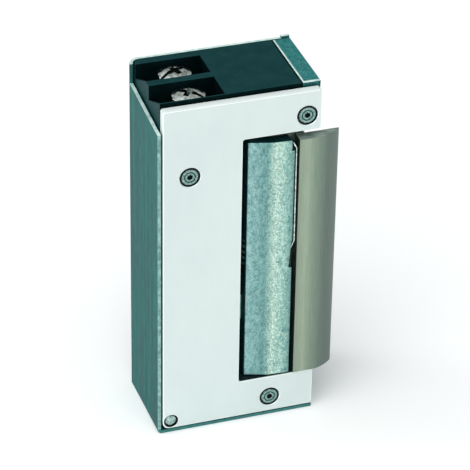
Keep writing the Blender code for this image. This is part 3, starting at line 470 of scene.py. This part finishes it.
def make_stainless():
    material, tree, shader = new_finish("brushed_stainless", 1.0)
    scratches = grain(tree, 0.05, (1, 1, 120), detail=4, roughness=0.65)
    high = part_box("keeper_lip")[1]
    front = high.x - LIP_FRONT_WIDE * MM
    # The metal's grey with painted light across the curve: a painted highlight near the left,
    # painted shade deepening to the right.
    grey_with_painted_shade = across(
        tree, (front, seen(150, 166, 146)), (front + 1.6 * MM, seen(166, 182, 162)),
        (front + 3.0 * MM, seen(140, 158, 142)), (front + 5.2 * MM, seen(114, 130, 122)),
        (high.x, seen(98, 114, 110)),
    )
    lines = tint(tree, scratches, (0.3, seen(214, 214, 212)), (0.7, seen(255, 255, 255)))
    tree.links.new(blend(tree, 1.0, grey_with_painted_shade, lines, "MULTIPLY"), shader.inputs["Base Color"])
    tree.links.new(spread(tree, scratches, 0.24, 0.38), shader.inputs["Roughness"])
    lift(tree, shader, scratches, 0.004, 0.5)
    return material


stainless = make_stainless()
print("finish:", stainless.name)

# %% [markdown]
# ## Black moulded plastic
# The terminal block is a glass-filled moulding from a spark-eroded mould, which gives it a fine,
# even grain. Dark plastic gets its look from the weak sheen on that grain. The faces inside the
# screw wells take a darker copy of the finish, a painted shade.

# %% Terminal block plastic
def make_plastic(name, dark, light):
    material, tree, shader = new_finish(name, 0.0, 0.07, seen(90, 190, 190))
    fine = grain(tree, 0.16, detail=3)
    cloud = grain(tree, 2.4, detail=4, seed=6.0)
    colour = tint(tree, cloud, (0.3, dark), (0.7, light))
    pits = tint(tree, fine, (0.3, seen(205, 205, 205)), (0.65, seen(255, 255, 255)))
    tree.links.new(blend(tree, 1.0, colour, pits, "MULTIPLY"), shader.inputs["Base Color"])
    tree.links.new(spread(tree, fine, 0.42, 0.6), shader.inputs["Roughness"])
    lift(tree, shader, fine, 0.03, 0.6)
    return material


plastic = make_plastic("grained_black_plastic", seen(8, 52, 54), seen(22, 62, 64))
# A darker copy of the plastic, painted shade for the inside of the wells.
well_shade_plastic = make_plastic("black_plastic_painted_well_shade", seen(2, 12, 14), seen(6, 22, 24))
print("finishes:", plastic.name, well_shade_plastic.name)

# %% [markdown]
# ## The small metals
# Bright nickel for the terminal screws and springs, and a darker one inside their driver cross,
# as painted shade. Dark zinc for the cover screws and the lever, and deeper zincs as painted
# shade on the keeper's top, in the frame's pocket and in the screws' groove, with a near-black one
# for painted shadow in sockets, holes and gaps.
# Then blackened spring wire, plain iron for the magnet, brass, copper wire and nylon. Each is the
# same recipe with its own two colours, grain size and roughness.

# %% Finishes for the small pieces
def make_small(name, metallic, dark, light, size, rough, stretch=(1, 1, 1), height=0.006):
    """A two-colour finish: blotches of one size, a roughness range and a slight relief."""
    material, tree, shader = new_finish(name, metallic)
    blotches = grain(tree, size, stretch, detail=4, seed=size)
    tree.links.new(tint(tree, blotches, (0.35, dark), (0.65, light)), shader.inputs["Base Color"])
    tree.links.new(spread(tree, blotches, *rough), shader.inputs["Roughness"])
    lift(tree, shader, blotches, height, 0.6)
    return material


nickel = make_small(
    "bright_nickel", 1.0, seen(150, 166, 158), seen(250, 255, 250), 0.7, (0.08, 0.22)
)
# Painted shade for the walls inside the terminal screws' driver cross.
shaded_nickel = make_small(
    "shaded_nickel", 1.0, seen(20, 34, 34), seen(140, 156, 148), 0.35, (0.1, 0.24)
)
dark_zinc = make_small(
    "dark_zinc", 0.9, seen(78, 112, 108), seen(160, 190, 182), 0.3, (0.26, 0.42)
)
pin_zinc = make_small(
    "peened_zinc", 0.85, seen(88, 126, 120), seen(196, 220, 212), 0.3, (0.3, 0.42), height=0.02
)
sawn_steel = make_small(
    "sawn_steel_end", 0.4, seen(112, 132, 124), seen(160, 178, 166), 0.5, (0.4, 0.55), (4, 1, 1)
)
# Painted shade for the keeper's top and left faces and the cover screws' groove.
shaded_zinc = make_small(
    "shaded_zinc", 0.7, seen(8, 46, 50), seen(26, 84, 86), 0.7, (0.45, 0.6)
)
# Painted shade for the inside of the frame's pocket.
pocket_shade_zinc = make_small(
    "pocket_shade_zinc", 0.8, seen(14, 66, 70), seen(46, 112, 112), 0.6, (0.4, 0.55)
)
# Painted shadow for sockets, hole and notch walls, the lip's slit, screw shoulders and the floors
# of the driver cross.
shadow_black = make_small(
    "socket_shadow", 0.3, seen(6, 22, 24), seen(20, 44, 46), 0.4, (0.5, 0.7)
)
spring_black = make_small(
    "blackened_spring", 0.6, seen(18, 34, 36), seen(40, 60, 60), 0.4, (0.35, 0.5)
)
iron = make_small(
    "annealed_iron", 0.95, seen(134, 138, 136), seen(176, 178, 174), 1.2, (0.34, 0.5), (1, 1, 3)
)
brass = make_small(
    "plain_brass", 1.0, seen(176, 142, 84), seen(222, 192, 128), 0.9, (0.22, 0.38)
)
copper = make_small(
    "enamelled_copper", 0.85, seen(132, 66, 34), seen(196, 112, 62), 0.6, (0.2, 0.34)
)
nylon = make_small(
    "natural_nylon", 0.0, seen(214, 210, 194), seen(230, 227, 214), 1.6, (0.42, 0.58)
)
print("small finishes: nickels, zincs, black, spring wire, iron, brass, copper and nylon")

# %% [markdown]
# ## From a bmesh to a finished piece
# Every piece ends the same way. Its mesh is shaded smooth with true creases kept, weighted
# normals keep the flat faces flat beside their rounded edges, and the piece takes the place of
# its CAD node and rides on that node's body.

# %% Tools for pieces
def settle(bm, node, *finishes, crease=40, bend=None):
    """Makes the mesh the shown piece for a CAD node. With a bend it rides on no body; the bend's
    body, start and end are not used.
    """
    mesh = bpy.data.meshes.new(node + "_look")
    bm.to_mesh(mesh)
    bm.free()
    mesh.shade_smooth()
    mesh.set_sharp_from_angle(angle=math.radians(crease))
    for finish in finishes:
        mesh.materials.append(finish)
    piece = bpy.data.objects.new(node + "_look", mesh)
    bpy.context.scene.collection.objects.link(piece)
    weigh = piece.modifiers.new("flat_faces_stay_flat", "WEIGHTED_NORMAL")
    weigh.keep_sharp = True
    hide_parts(node)
    if bend:
        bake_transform(piece)
    else:
        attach(piece, body_of[node])
    return piece


print("bodies to ride on:", len(set(body_of.values())))

# %% Copies, corners and rounded edges
WELD = 0.002
SQUARE = 0.9    # a face whose normal has more than this along an axis lies square to it


def copy_of(node):
    """A CAD node's shape as clean faces: its loose triangles are merged, flat ones joined."""
    bm = bmesh.new()
    bm.from_mesh(frame["nodes"][node].data)
    bm.transform(frame["nodes"][node].matrix_basis)
    bmesh.ops.remove_doubles(bm, verts=bm.verts, dist=WELD * MM)
    bmesh.ops.dissolve_limit(
        bm, angle_limit=math.radians(0.5), verts=bm.verts, edges=bm.edges,
        delimit={"NORMAL"},
    )
    return bm


def corners(bm, angle=35):
    """Edges where two faces meet at more than this angle, outer and inner ones alike."""
    return [
        e for e in bm.edges
        if len(e.link_faces) == 2 and e.calc_face_angle(0) > math.radians(angle)
    ]


def round_edges(bm, edges, width, segments=2):
    """Rounds edges with a quarter-round of this width in millimetres."""
    bmesh.ops.bevel(
        bm, geom=edges, offset=width * MM, offset_type="OFFSET", segments=segments,
        profile=0.5, affect="EDGES", clamp_overlap=True, material=-1, loop_slide=True,
    )
    return bm


print("edge tools: copy_of, corners and round_edges")


# %% Turned and carved shapes
def turned(profile, centre, axis, steps=48):
    """Spins a profile of (radius, height) points in millimetres about an axis through centre."""
    bm = bmesh.new()
    verts = [bm.verts.new((r * MM, 0, h * MM)) for r, h in profile]
    edges = [bm.edges.new(pair) for pair in zip(verts, verts[1:])]
    bmesh.ops.spin(
        bm, geom=verts + edges, cent=(0, 0, 0), axis=(0, 0, 1), angle=math.tau,
        steps=steps, use_merge=True,
    )
    bmesh.ops.remove_doubles(bm, verts=bm.verts, dist=0.001 * MM)
    bmesh.ops.recalc_face_normals(bm, faces=bm.faces)
    turn = Vector((0, 0, 1)).rotation_difference(Vector(axis)).to_matrix().to_4x4()
    bmesh.ops.transform(bm, matrix=Matrix.Translation(centre) @ turn, verts=bm.verts)
    return bm


def carve(bm, *cutters):
    """Takes the cutters away from a solid, exactly."""
    body = bpy.data.objects.new("carved", bpy.data.meshes.new("carved"))
    bm.to_mesh(body.data)
    bm.free()
    bpy.context.scene.collection.objects.link(body)
    tools = []
    for cutter in cutters:
        tool = bpy.data.objects.new("carver", bpy.data.meshes.new("carver"))
        cutter.to_mesh(tool.data)
        cutter.free()
        bpy.context.scene.collection.objects.link(tool)
        tools.append(tool)
        step = body.modifiers.new("carve", "BOOLEAN")
        step.operation = "DIFFERENCE"
        step.solver = "EXACT"
        step.object = tool
    done = bmesh.new()
    done.from_object(body, bpy.context.evaluated_depsgraph_get())
    for used in [body, *tools]:
        mesh = used.data
        bpy.data.objects.remove(used)
        bpy.data.meshes.remove(mesh)
    return done


print("shape tools: turned and carve")

# %% [markdown]
# ## The case
# The case is one bent sheet: back, left wall and a bottom flange, open at the front, top and
# right. Its edges are sheared, then the burr is taken off, so each gets a very small round. The
# sheared faces show barer metal: the upward and right-hand ones in the bright copy, a painted
# highlight, the front and sloped ones in the dull copy, painted shade. The front edge of the wall
# and that of the flange are one face on the blank, so it is cut in two just above the flange
# before it is sorted.

# %% Case
WALL_DROP_REACH = 6.5
ABOVE_FLANGE = 0.95
EDGE_ROUND = 0.09


def build_case():
    low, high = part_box("case_shell")
    bm = copy_of("case_shell")
    whole = [*bm.verts, *bm.edges, *bm.faces]
    cut = (0, 0, low.z + ABOVE_FLANGE * MM)
    bmesh.ops.bisect_plane(bm, geom=whole, plane_co=cut, plane_no=(0, 0, 1))
    for face in bm.faces:
        place, normal = face.calc_center_median(), face.normal
        front = normal.y < -0.95 and place.y < low.y + 0.05 * MM and place.x < low.x + MM
        top = normal.z > SQUARE and place.z > high.z - WALL_DROP_REACH * MM
        side = normal.x > 0.95 and place.x > high.x - 0.5 * MM
        sloped = -0.95 < normal.y < -0.2 and normal.z > 0.2
        # Upward and right-hand sheared faces take the bright copy, a painted highlight; front and
        # sloped ones the dull copy, painted shade.
        face.material_index = 2 if sloped or front else int(top or side)
    round_edges(bm, corners(bm), EDGE_ROUND, 2)
    return settle(bm, "case_shell", zinc_sheet, bare_edge_with_highlight, edge_in_painted_shade)


case = build_case()
print("case:", len(case.data.polygons), "faces")

# %% [markdown]
# ## The cover plate
# The plate is a stamped blank with a notch for the keeper. Its outline is a few corners that are
# extruded to the plate's thickness. The stamped corners are rounded first, then the front rim,
# and only then the screw holes are cut, so that each hole keeps a crisp mouth of its own. The
# walls of the holes and of the notch take a painted shadow, and the rim bevels and top face a
# painted highlight.

# %% Sizes of the cover plate, in millimetres
COVER_SCREWS = ("cover_screw_upper", "cover_screw_left", "cover_screw_lower")
HEAD_RADIUS = 1.48
HOLE_RADIUS = 1.84
PIN_HOLE_RADIUS = 1.3
NOTCH_WIDE = 13.85
NOTCH_BELOW = 0.4
NOTCH_ABOVE = 1.4
BIG_CORNER = 1.2
SMALL_CORNER = 0.45
RIM_ROUND = 0.16
TOUCH = 0.01
print("plate: three screw holes of radius", HOLE_RADIUS, "and a notch", NOTCH_WIDE, "wide")


# %% Plate's blank
def screw_spot(node):
    """The middle of a round node that stands along Y, at the plate's front face."""
    low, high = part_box(node)
    return Vector(((low.x + high.x) / 2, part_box("cover_plate")[0].y, (low.z + high.z) / 2))


def notch():
    """The left, bottom and top of the notch that the keeper stands in."""
    keeper_low, keeper_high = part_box("keeper_body")
    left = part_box("cover_plate")[1].x - NOTCH_WIDE * MM
    return left, keeper_low.z - NOTCH_BELOW * MM, keeper_high.z + NOTCH_ABOVE * MM


def plate_blank():
    """The notched plate with its stamped corners and its front rim rounded."""
    low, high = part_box("cover_plate")
    left, bottom, top = notch()
    outline = [
        (low.x, low.z), (high.x, low.z), (high.x, bottom), (left, bottom),
        (left, top), (high.x, top), (high.x, high.z), (low.x, high.z),
    ]
    bm = bmesh.new()
    blank = bm.faces.new([bm.verts.new((x, high.y, z)) for x, z in outline])
    pushed = bmesh.ops.extrude_face_region(bm, geom=[blank])
    front = [v for v in pushed["geom"] if isinstance(v, bmesh.types.BMVert)]
    bmesh.ops.translate(bm, verts=front, vec=(0, low.y - high.y, 0))
    bmesh.ops.recalc_face_normals(bm, faces=bm.faces)
    upright = [e for e in bm.edges if abs(e.verts[0].co.y - e.verts[1].co.y) > 0.5 * MM]
    first = [
        e for e in upright
        if e.verts[0].co.x < low.x + TOUCH * MM and e.verts[0].co.z < low.z + MM
    ]
    round_edges(bm, first, BIG_CORNER, 8)
    rest = [e for e in corners(bm, 60) if abs(e.verts[0].co.y - e.verts[1].co.y) > 0.5 * MM]
    round_edges(bm, rest, SMALL_CORNER, 5)
    rim = [e for e in corners(bm, 60) if max(v.co.y for v in e.verts) < low.y + TOUCH * MM]
    return round_edges(bm, rim, RIM_ROUND, 3)


print("notch, in mm:", [round(edge / MM, 1) for edge in notch()])


# %% Cover plate
def hole_cutter(node, radius, chamfer, deep):
    """A turned plug for a hole through the plate, with a chamfer at its mouth."""
    mouth = radius + chamfer
    profile = [(0, -3), (radius, -3), (radius, -deep), (mouth, 0.02), (mouth, 1), (0, 1)]
    return turned(profile, screw_spot(node), (0, -1, 0))


def build_plate():
    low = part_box("cover_plate")[0]
    left, bottom, top = notch()
    cutters = [hole_cutter(node, HOLE_RADIUS, 0.14, 0.12) for node in COVER_SCREWS]
    cutters.append(hole_cutter("corner_rivet", PIN_HOLE_RADIUS, 0.08, 0.08))
    bm = carve(plate_blank(), *cutters)
    spots = [screw_spot(node) for node in (*COVER_SCREWS, "corner_rivet")]
    for face in bm.faces:
        place = face.calc_center_median()
        inside = place.x > left - 0.1 * MM and bottom - 0.1 * MM < place.z < top + 0.1 * MM
        on_rim = -0.97 < face.normal.y < -0.1 and place.y < low.y + 0.2 * MM
        highlight_zone = (on_rim and face.normal.z < 0.3) or face.normal.z > SQUARE
        bored = any(
            math.hypot(place.x - spot.x, place.z - spot.z) < (HOLE_RADIUS + 0.06) * MM
            for spot in spots
        )
        # Hole and notch walls take painted shadow.
        if (inside or bored) and place.y > low.y + 0.2 * MM:
            face.material_index = 1
        # The rim bevels, except along the top, and the top face take a painted highlight.
        elif highlight_zone and not inside:
            face.material_index = 2
    return settle(bm, "cover_plate", satin_plate, shadow_black, rim_highlight, crease=30)


plate = build_plate()
print("plate:", len(plate.data.polygons), "faces")

# %% [markdown]
# ## Cover screws and the corner pin
# Each cover screw is turned: a flat head with a fine groove and chamfer, a sunk shoulder round
# it, and the shank. The socket is a six-sided hole. The socket and the shoulder carry painted
# shadow, the groove painted shade. The corner pin is much the same without a socket, and its end
# is slightly domed and peened from riveting; below its head it carries painted shadow.

# %% Cover screws
def hex_cutter(centre, axis, radius, deep):
    """A six-sided plug that stands a millimetre proud of the face it sinks into."""
    bm = bmesh.new()
    bmesh.ops.create_cone(
        bm, cap_ends=True, segments=6, radius1=radius * 0.86 * MM, radius2=radius * MM,
        depth=(deep + 1) * MM,
    )
    turn = Vector((0, 0, 1)).rotation_difference(Vector(axis)).to_matrix().to_4x4()
    shift = Matrix.Translation((0, 0, (1 - deep) / 2 * MM))
    bmesh.ops.transform(bm, matrix=Matrix.Translation(centre) @ turn @ shift, verts=bm.verts)
    return bm


def build_cover_screw(node):
    spot = screw_spot(node)
    long = (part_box(node)[1].y - spot.y) / MM
    profile = [
        (0, -0.1), (HEAD_RADIUS * 0.55, -0.1), (HEAD_RADIUS * 0.62, -0.14),
        (HEAD_RADIUS * 0.7, -0.1), (HEAD_RADIUS - 0.12, -0.1), (HEAD_RADIUS - 0.04, -0.13),
        (HEAD_RADIUS, -0.22), (HEAD_RADIUS, -0.5), (HOLE_RADIUS - 0.04, -0.5),
        (HOLE_RADIUS - 0.04, -0.6), (0.85, -1.1), (0.85, -long + 0.3), (0.55, -long), (0, -long),
    ]
    bm = carve(turned(profile, spot, (0, -1, 0)), hex_cutter(spot, (0, -1, 0), 0.6, 0.8))
    # The socket and the shoulder take painted shadow, the groove painted shade.
    for face in bm.faces:
        place = face.calc_center_median()
        away = math.hypot(place.x - spot.x, place.z - spot.z) / MM
        deep = (place.y - spot.y) / MM
        socket = away < 0.58 and deep > 0.16
        ring = 0.56 * HEAD_RADIUS < away < 0.69 * HEAD_RADIUS and deep < 0.2
        shoulder = HEAD_RADIUS - 0.01 < away and deep > 0.2
        face.material_index = 2 if ring else int(socket or shoulder)
    return settle(bm, node, dark_zinc, shadow_black, shaded_zinc, crease=25)


cover_screws = [build_cover_screw(node) for node in COVER_SCREWS]
print("cover screws:", len(cover_screws))


# %% Corner pin
def build_corner_pin():
    spot = screw_spot("corner_rivet")
    long = (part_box("corner_rivet")[1].y - spot.y) / MM
    profile = [
        (0, -0.1), (0.35, -0.11), (0.7, -0.15), (0.94, -0.22), (1.04, -0.36), (1.04, -0.6),
        (PIN_HOLE_RADIUS - 0.03, -0.6), (PIN_HOLE_RADIUS - 0.03, -0.7), (0.9, -1.2),
        (0.9, -long), (0, -long),
    ]
    bm = turned(profile, spot, (0, -1, 0))
    # Faces below the pin's head take painted shadow.
    for face in bm.faces:
        face.material_index = int(face.calc_center_median().y > spot.y + 0.38 * MM)
    return settle(bm, "corner_rivet", pin_zinc, shadow_black, crease=40)


corner_pin = build_corner_pin()
print("corner pin:", len(corner_pin.data.polygons), "faces")

# %% [markdown]
# ## Terminal screws
# Two nickelled pan heads sit in the wells of the terminal block. The head is a low dome with a
# rolled edge. A driver cross with tapered wings is sunk in it, and a straight slot crosses the
# whole head, as on most terminal screws. The wings come from blocks that narrow towards the point.

# %% Terminal screws
def wing_cutter(spot, long, wide, deep, taper, angle):
    """A block through the head's middle, narrower at its foot, standing a millimetre proud."""
    bm = bmesh.new()
    bmesh.ops.create_cube(bm, size=1)
    for v in bm.verts:
        share = taper if v.co.z < 0 else 1.0
        height = (v.co.z + 0.5) * (deep + 1) - deep
        v.co = Vector((v.co.x * long * share, v.co.y * wide, height)) * MM
    turn = Matrix.Translation(spot) @ Matrix.Rotation(math.radians(angle), 4, "Z")
    bmesh.ops.transform(bm, matrix=turn, verts=bm.verts)
    return bm


def build_terminal_screw(node, angle):
    low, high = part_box(node)
    spot = Vector(((low.x + high.x) / 2, (low.y + high.y) / 2, high.z))
    radius = (high.x - low.x) / 2 / MM
    long = (high.z - low.z) / MM
    dome = [(radius * math.sin(math.radians(a)) * 0.94, -1.0 * (1 - math.cos(math.radians(a))))
            for a in range(0, 66, 6)]
    rim = dome[-1][1]
    profile = dome + [
        (radius - 0.08, rim - 0.16), (radius, rim - 0.36), (radius, -1.9), (radius - 0.2, -2.1),
        (1.3, -2.1), (1.3, -long + 0.4), (0.9, -long), (0, -long),
    ]
    bm = turned(profile, spot, (0, 0, 1), 56)
    bm = carve(
        bm,
        wing_cutter(spot, 3.9, 0.95, 1.35, 0.42, angle),
        wing_cutter(spot, 3.9, 0.95, 1.35, 0.42, angle + 90),
        wing_cutter(spot, 6.4, 0.62, 0.85, 1.0, angle),
    )
    # Inside the cross, the walls take painted shade and the floors painted shadow.
    for face in bm.faces:
        place = face.calc_center_median()
        away = math.hypot(place.x - spot.x, place.y - spot.y) / MM
        share = min(1.0, away / (0.94 * radius))
        skin = spot.z - (1 - math.sqrt(1 - share * share)) * MM
        sunk = away < 0.88 * radius and skin - 2.2 * MM < place.z < skin - 0.1 * MM
        face.material_index = (2 if face.normal.z > 0.5 else 1) if sunk else 0
    bmesh.ops.dissolve_limit(bm, angle_limit=math.radians(0.3), verts=bm.verts, edges=bm.edges,
                             delimit={"MATERIAL"})
    return settle(bm, node, nickel, shaded_nickel, shadow_black, crease=28)


terminal_screws = [
    build_terminal_screw("terminal_screw_rear", 24),
    build_terminal_screw("terminal_screw_front", -38),
]
print("terminal screws:", [len(p.data.polygons) for p in terminal_screws], "faces")

# %% [markdown]
# ## The coil's winding
# The winding is layer upon layer of thin enamelled wire. Only the outer layer shows, so a profile
# with one small arch for each turn is spun round the core, which gives a true ribbed surface.

# %% Winding
def build_winding():
    low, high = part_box("coil_winding")
    centre = Vector(((low.x + high.x) / 2, (low.y + high.y) / 2, low.z))
    outer = (high.x - low.x) / 2 / MM
    tall = (high.z - low.z) / MM
    turns = 30
    pitch = tall / turns
    source = copy_of("coil_winding")
    inner = min(math.hypot(v.co.x - centre.x, v.co.y - centre.y) for v in source.verts) / MM
    source.free()
    arches = []
    for turn in range(turns):
        for step in range(4):
            angle = math.pi * step / 4
            height = pitch * (turn + 0.5 - 0.5 * math.cos(angle))
            arches.append((outer - pitch / 2 * (1 - math.sin(angle)) * 0.8, height))
    profile = [(inner, 0), *arches, (outer - pitch * 0.4, tall), (inner, tall), (inner, 0)]
    return settle(turned(profile, centre, (0, 0, 1), 64), "coil_winding", copper, crease=75)


winding = build_winding()
print("winding:", len(winding.data.polygons), "faces")

# %% [markdown]
# ## Castings, mouldings and pressings
# The rest keep their exact shapes, since holes, bosses and pivots have to stay where they are.
# A merged copy of each has its corners rounded by the amount its process gives: a casting or a
# moulding is rounder than a pressing, and the keeper was tumbled until its ends were soft. The
# frame's upper lug stands a little proud, and its rounded edges and two outer strips carry a
# painted highlight. The keeper's top, the frame's pocket and the block's wells carry painted shade.

# %% Keeper
def build_keeper():
    bm = copy_of("keeper_body")
    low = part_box("keeper_body")[0]
    ends = [
        e for e in corners(bm, 40)
        if all(v.co.y < low.y + 2.2 * MM for v in e.verts) and e.calc_length() > 0.6 * MM
    ]
    # The keeper's top and left faces take painted shade.
    for face in bm.faces:
        face.material_index = int(face.normal.z > SQUARE or face.normal.x < -SQUARE)
    round_edges(bm, ends, 0.34, 4)
    return settle(bm, "keeper_body", keeper_casting, shaded_zinc, crease=22)


keeper = build_keeper()
print("keeper:", len(keeper.data.polygons), "faces")


# %% Lip
def build_lip():
    bm = copy_of("keeper_lip")
    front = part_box("keeper_lip")[0].y + 2.8 * MM
    # The face inside the slit takes painted shadow; the top end faces take the sawn finish.
    for face in bm.faces:
        in_slit = face.normal.x < -0.95 and face.calc_center_median().y < front
        face.material_index = 2 if face.normal.z > SQUARE else int(in_slit)
    round_edges(bm, corners(bm, 50), 0.1, 3)
    return settle(bm, "keeper_lip", stainless, shadow_black, sawn_steel, crease=30)


lip = build_lip()
print("lip:", len(lip.data.polygons), "faces")

# %% Frame
LUG_PROUD = 0.3
# Width of the painted highlight strips along the lug's outer edges, in millimetres.
HIGHLIGHT_STRIP = 0.6


def build_frame():
    bm = copy_of("strike_frame")
    low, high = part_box("strike_frame")
    top = [v for v in bm.verts if v.co.z > high.z - 1.6 * MM]
    for v in top:
        if v.co.x > high.x - 0.05 * MM:
            v.co.x += LUG_PROUD * MM
    side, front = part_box("terminal_block")[1].x + HIGHLIGHT_STRIP * MM, low.y + HIGHLIGHT_STRIP * MM
    edges = [e for e in corners(bm, 50) if e.calc_length() > 0.5 * MM]
    round_edges(bm, edges, 0.16, 3)
    for co, no in (((side, 0, 0), (1, 0, 0)), ((0, front, 0), (0, 1, 0))):
        upper = [f for f in bm.faces if f.calc_center_median().z > high.z - 0.3 * MM]
        parts = {v for f in upper for v in f.verts} | {e for f in upper for e in f.edges}
        bmesh.ops.bisect_plane(bm, geom=[*parts, *upper], plane_co=co, plane_no=no)
    for face in bm.faces:
        rounded = max(abs(part) for part in face.normal) < 0.97
        place = face.calc_center_median()
        # On the lug's top, the rounded edges and the two outer strips take a painted highlight.
        if place.z > high.z - 0.3 * MM:
            face.material_index = int(rounded or place.x < side or place.y < front)
        elif place.z > high.z - 2 * MM:
            face.material_index = 0
        # The pocket faces below the lug take painted shade.
        elif face.normal.x < SQUARE or place.x < high.x - MM:
            face.material_index = 2
    return settle(bm, "strike_frame", frame_casting, bare_edge_with_highlight, pocket_shade_zinc, crease=40)


inner_frame = build_frame()
print("frame:", len(inner_frame.data.polygons), "faces")


# %% Terminal block
def build_block():
    bm = copy_of("terminal_block")
    low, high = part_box("terminal_block")
    # Faces inside the wells, below the top, take painted shade.
    for face in bm.faces:
        place = face.calc_center_median()
        inside = low.x + 0.2 * MM < place.x < high.x - 0.2 * MM and place.y < high.y - 0.2 * MM
        face.material_index = int(inside and place.z < high.z - 0.2 * MM)
    edges = [e for e in corners(bm, 40) if e.calc_length() > 0.5 * MM]
    round_edges(bm, edges, 0.16, 3)
    return settle(bm, "terminal_block", plastic, well_shade_plastic, crease=40)


block = build_block()
print("block:", len(block.data.polygons), "faces")

# %% [markdown]
# ## The mechanism behind the keeper
# Pins, springs, lever, armature, coil parts and terminals. Stamped pieces get a small rounded
# edge, and turned or wound ones are only merged and smoothed.

# %% Mechanism
MECHANISM = {
    "locking_lever": (dark_zinc, 0.12), "armature": (iron, 0.1),
    "armature_catch": (dark_zinc, 0.08),
    "coil_yoke": (iron, 0.15), "coil_core": (iron, 0), "coil_bobbin": (nylon, 0.08),
    "coil_lead_front": (copper, 0), "coil_lead_rear": (copper, 0),
    "wire_clamp_front": (nickel, 0.1), "wire_clamp_rear": (nickel, 0.1),
    "contact_front": (brass, 0.08), "contact_rear": (brass, 0.08),
    "keeper_pin": (nickel, 0.12), "lever_pin": (nickel, 0.1), "armature_pin": (nickel, 0.06),
    "keeper_spring": (spring_black, 0),
    "lock_wire": (nickel, 0), "lip_screw_lower": (dark_zinc, 0.06),
    "lip_screw_upper": (dark_zinc, 0.06),
}


def build_part(node, finish, width):
    bm = copy_of(node)
    if width:
        round_edges(bm, corners(bm, 60), width, 2)
    return settle(bm, node, finish, crease=45)


mechanism = [build_part(node, *choice) for node, choice in MECHANISM.items()]
print("mechanism:", len(mechanism), "pieces")

# %% [markdown]
# ## Two pressed springs
# The lever's and the armature's coil springs stand on the frame with one end and push a moving
# piece with the other. Each is a merged copy of its CAD node with its place baked in, riding on
# no body; the ends of its travel are worked out but not used.

# %% Pressed springs
END_COIL = 0.5


def build_pressed_spring(node, moving, along, foot_first):
    """A spring whose foot is at its low or its high end along one axis."""
    low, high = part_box(node)
    middle = (low + high) / 2
    foot, push = (low, high) if foot_first else (high, low)
    start, end = middle.copy(), middle.copy()
    start[along] = foot[along]
    end[along] = push[along] + (-END_COIL if foot_first else END_COIL) * MM
    return settle(copy_of(node), node, nickel, crease=45, bend=(moving, start, end))


pressed_springs = [
    build_pressed_spring("lever_spring", "lever", 1, False),
    build_pressed_spring("armature_spring", "armature_arm", 2, True),
]
print("pressed springs:", len(pressed_springs))
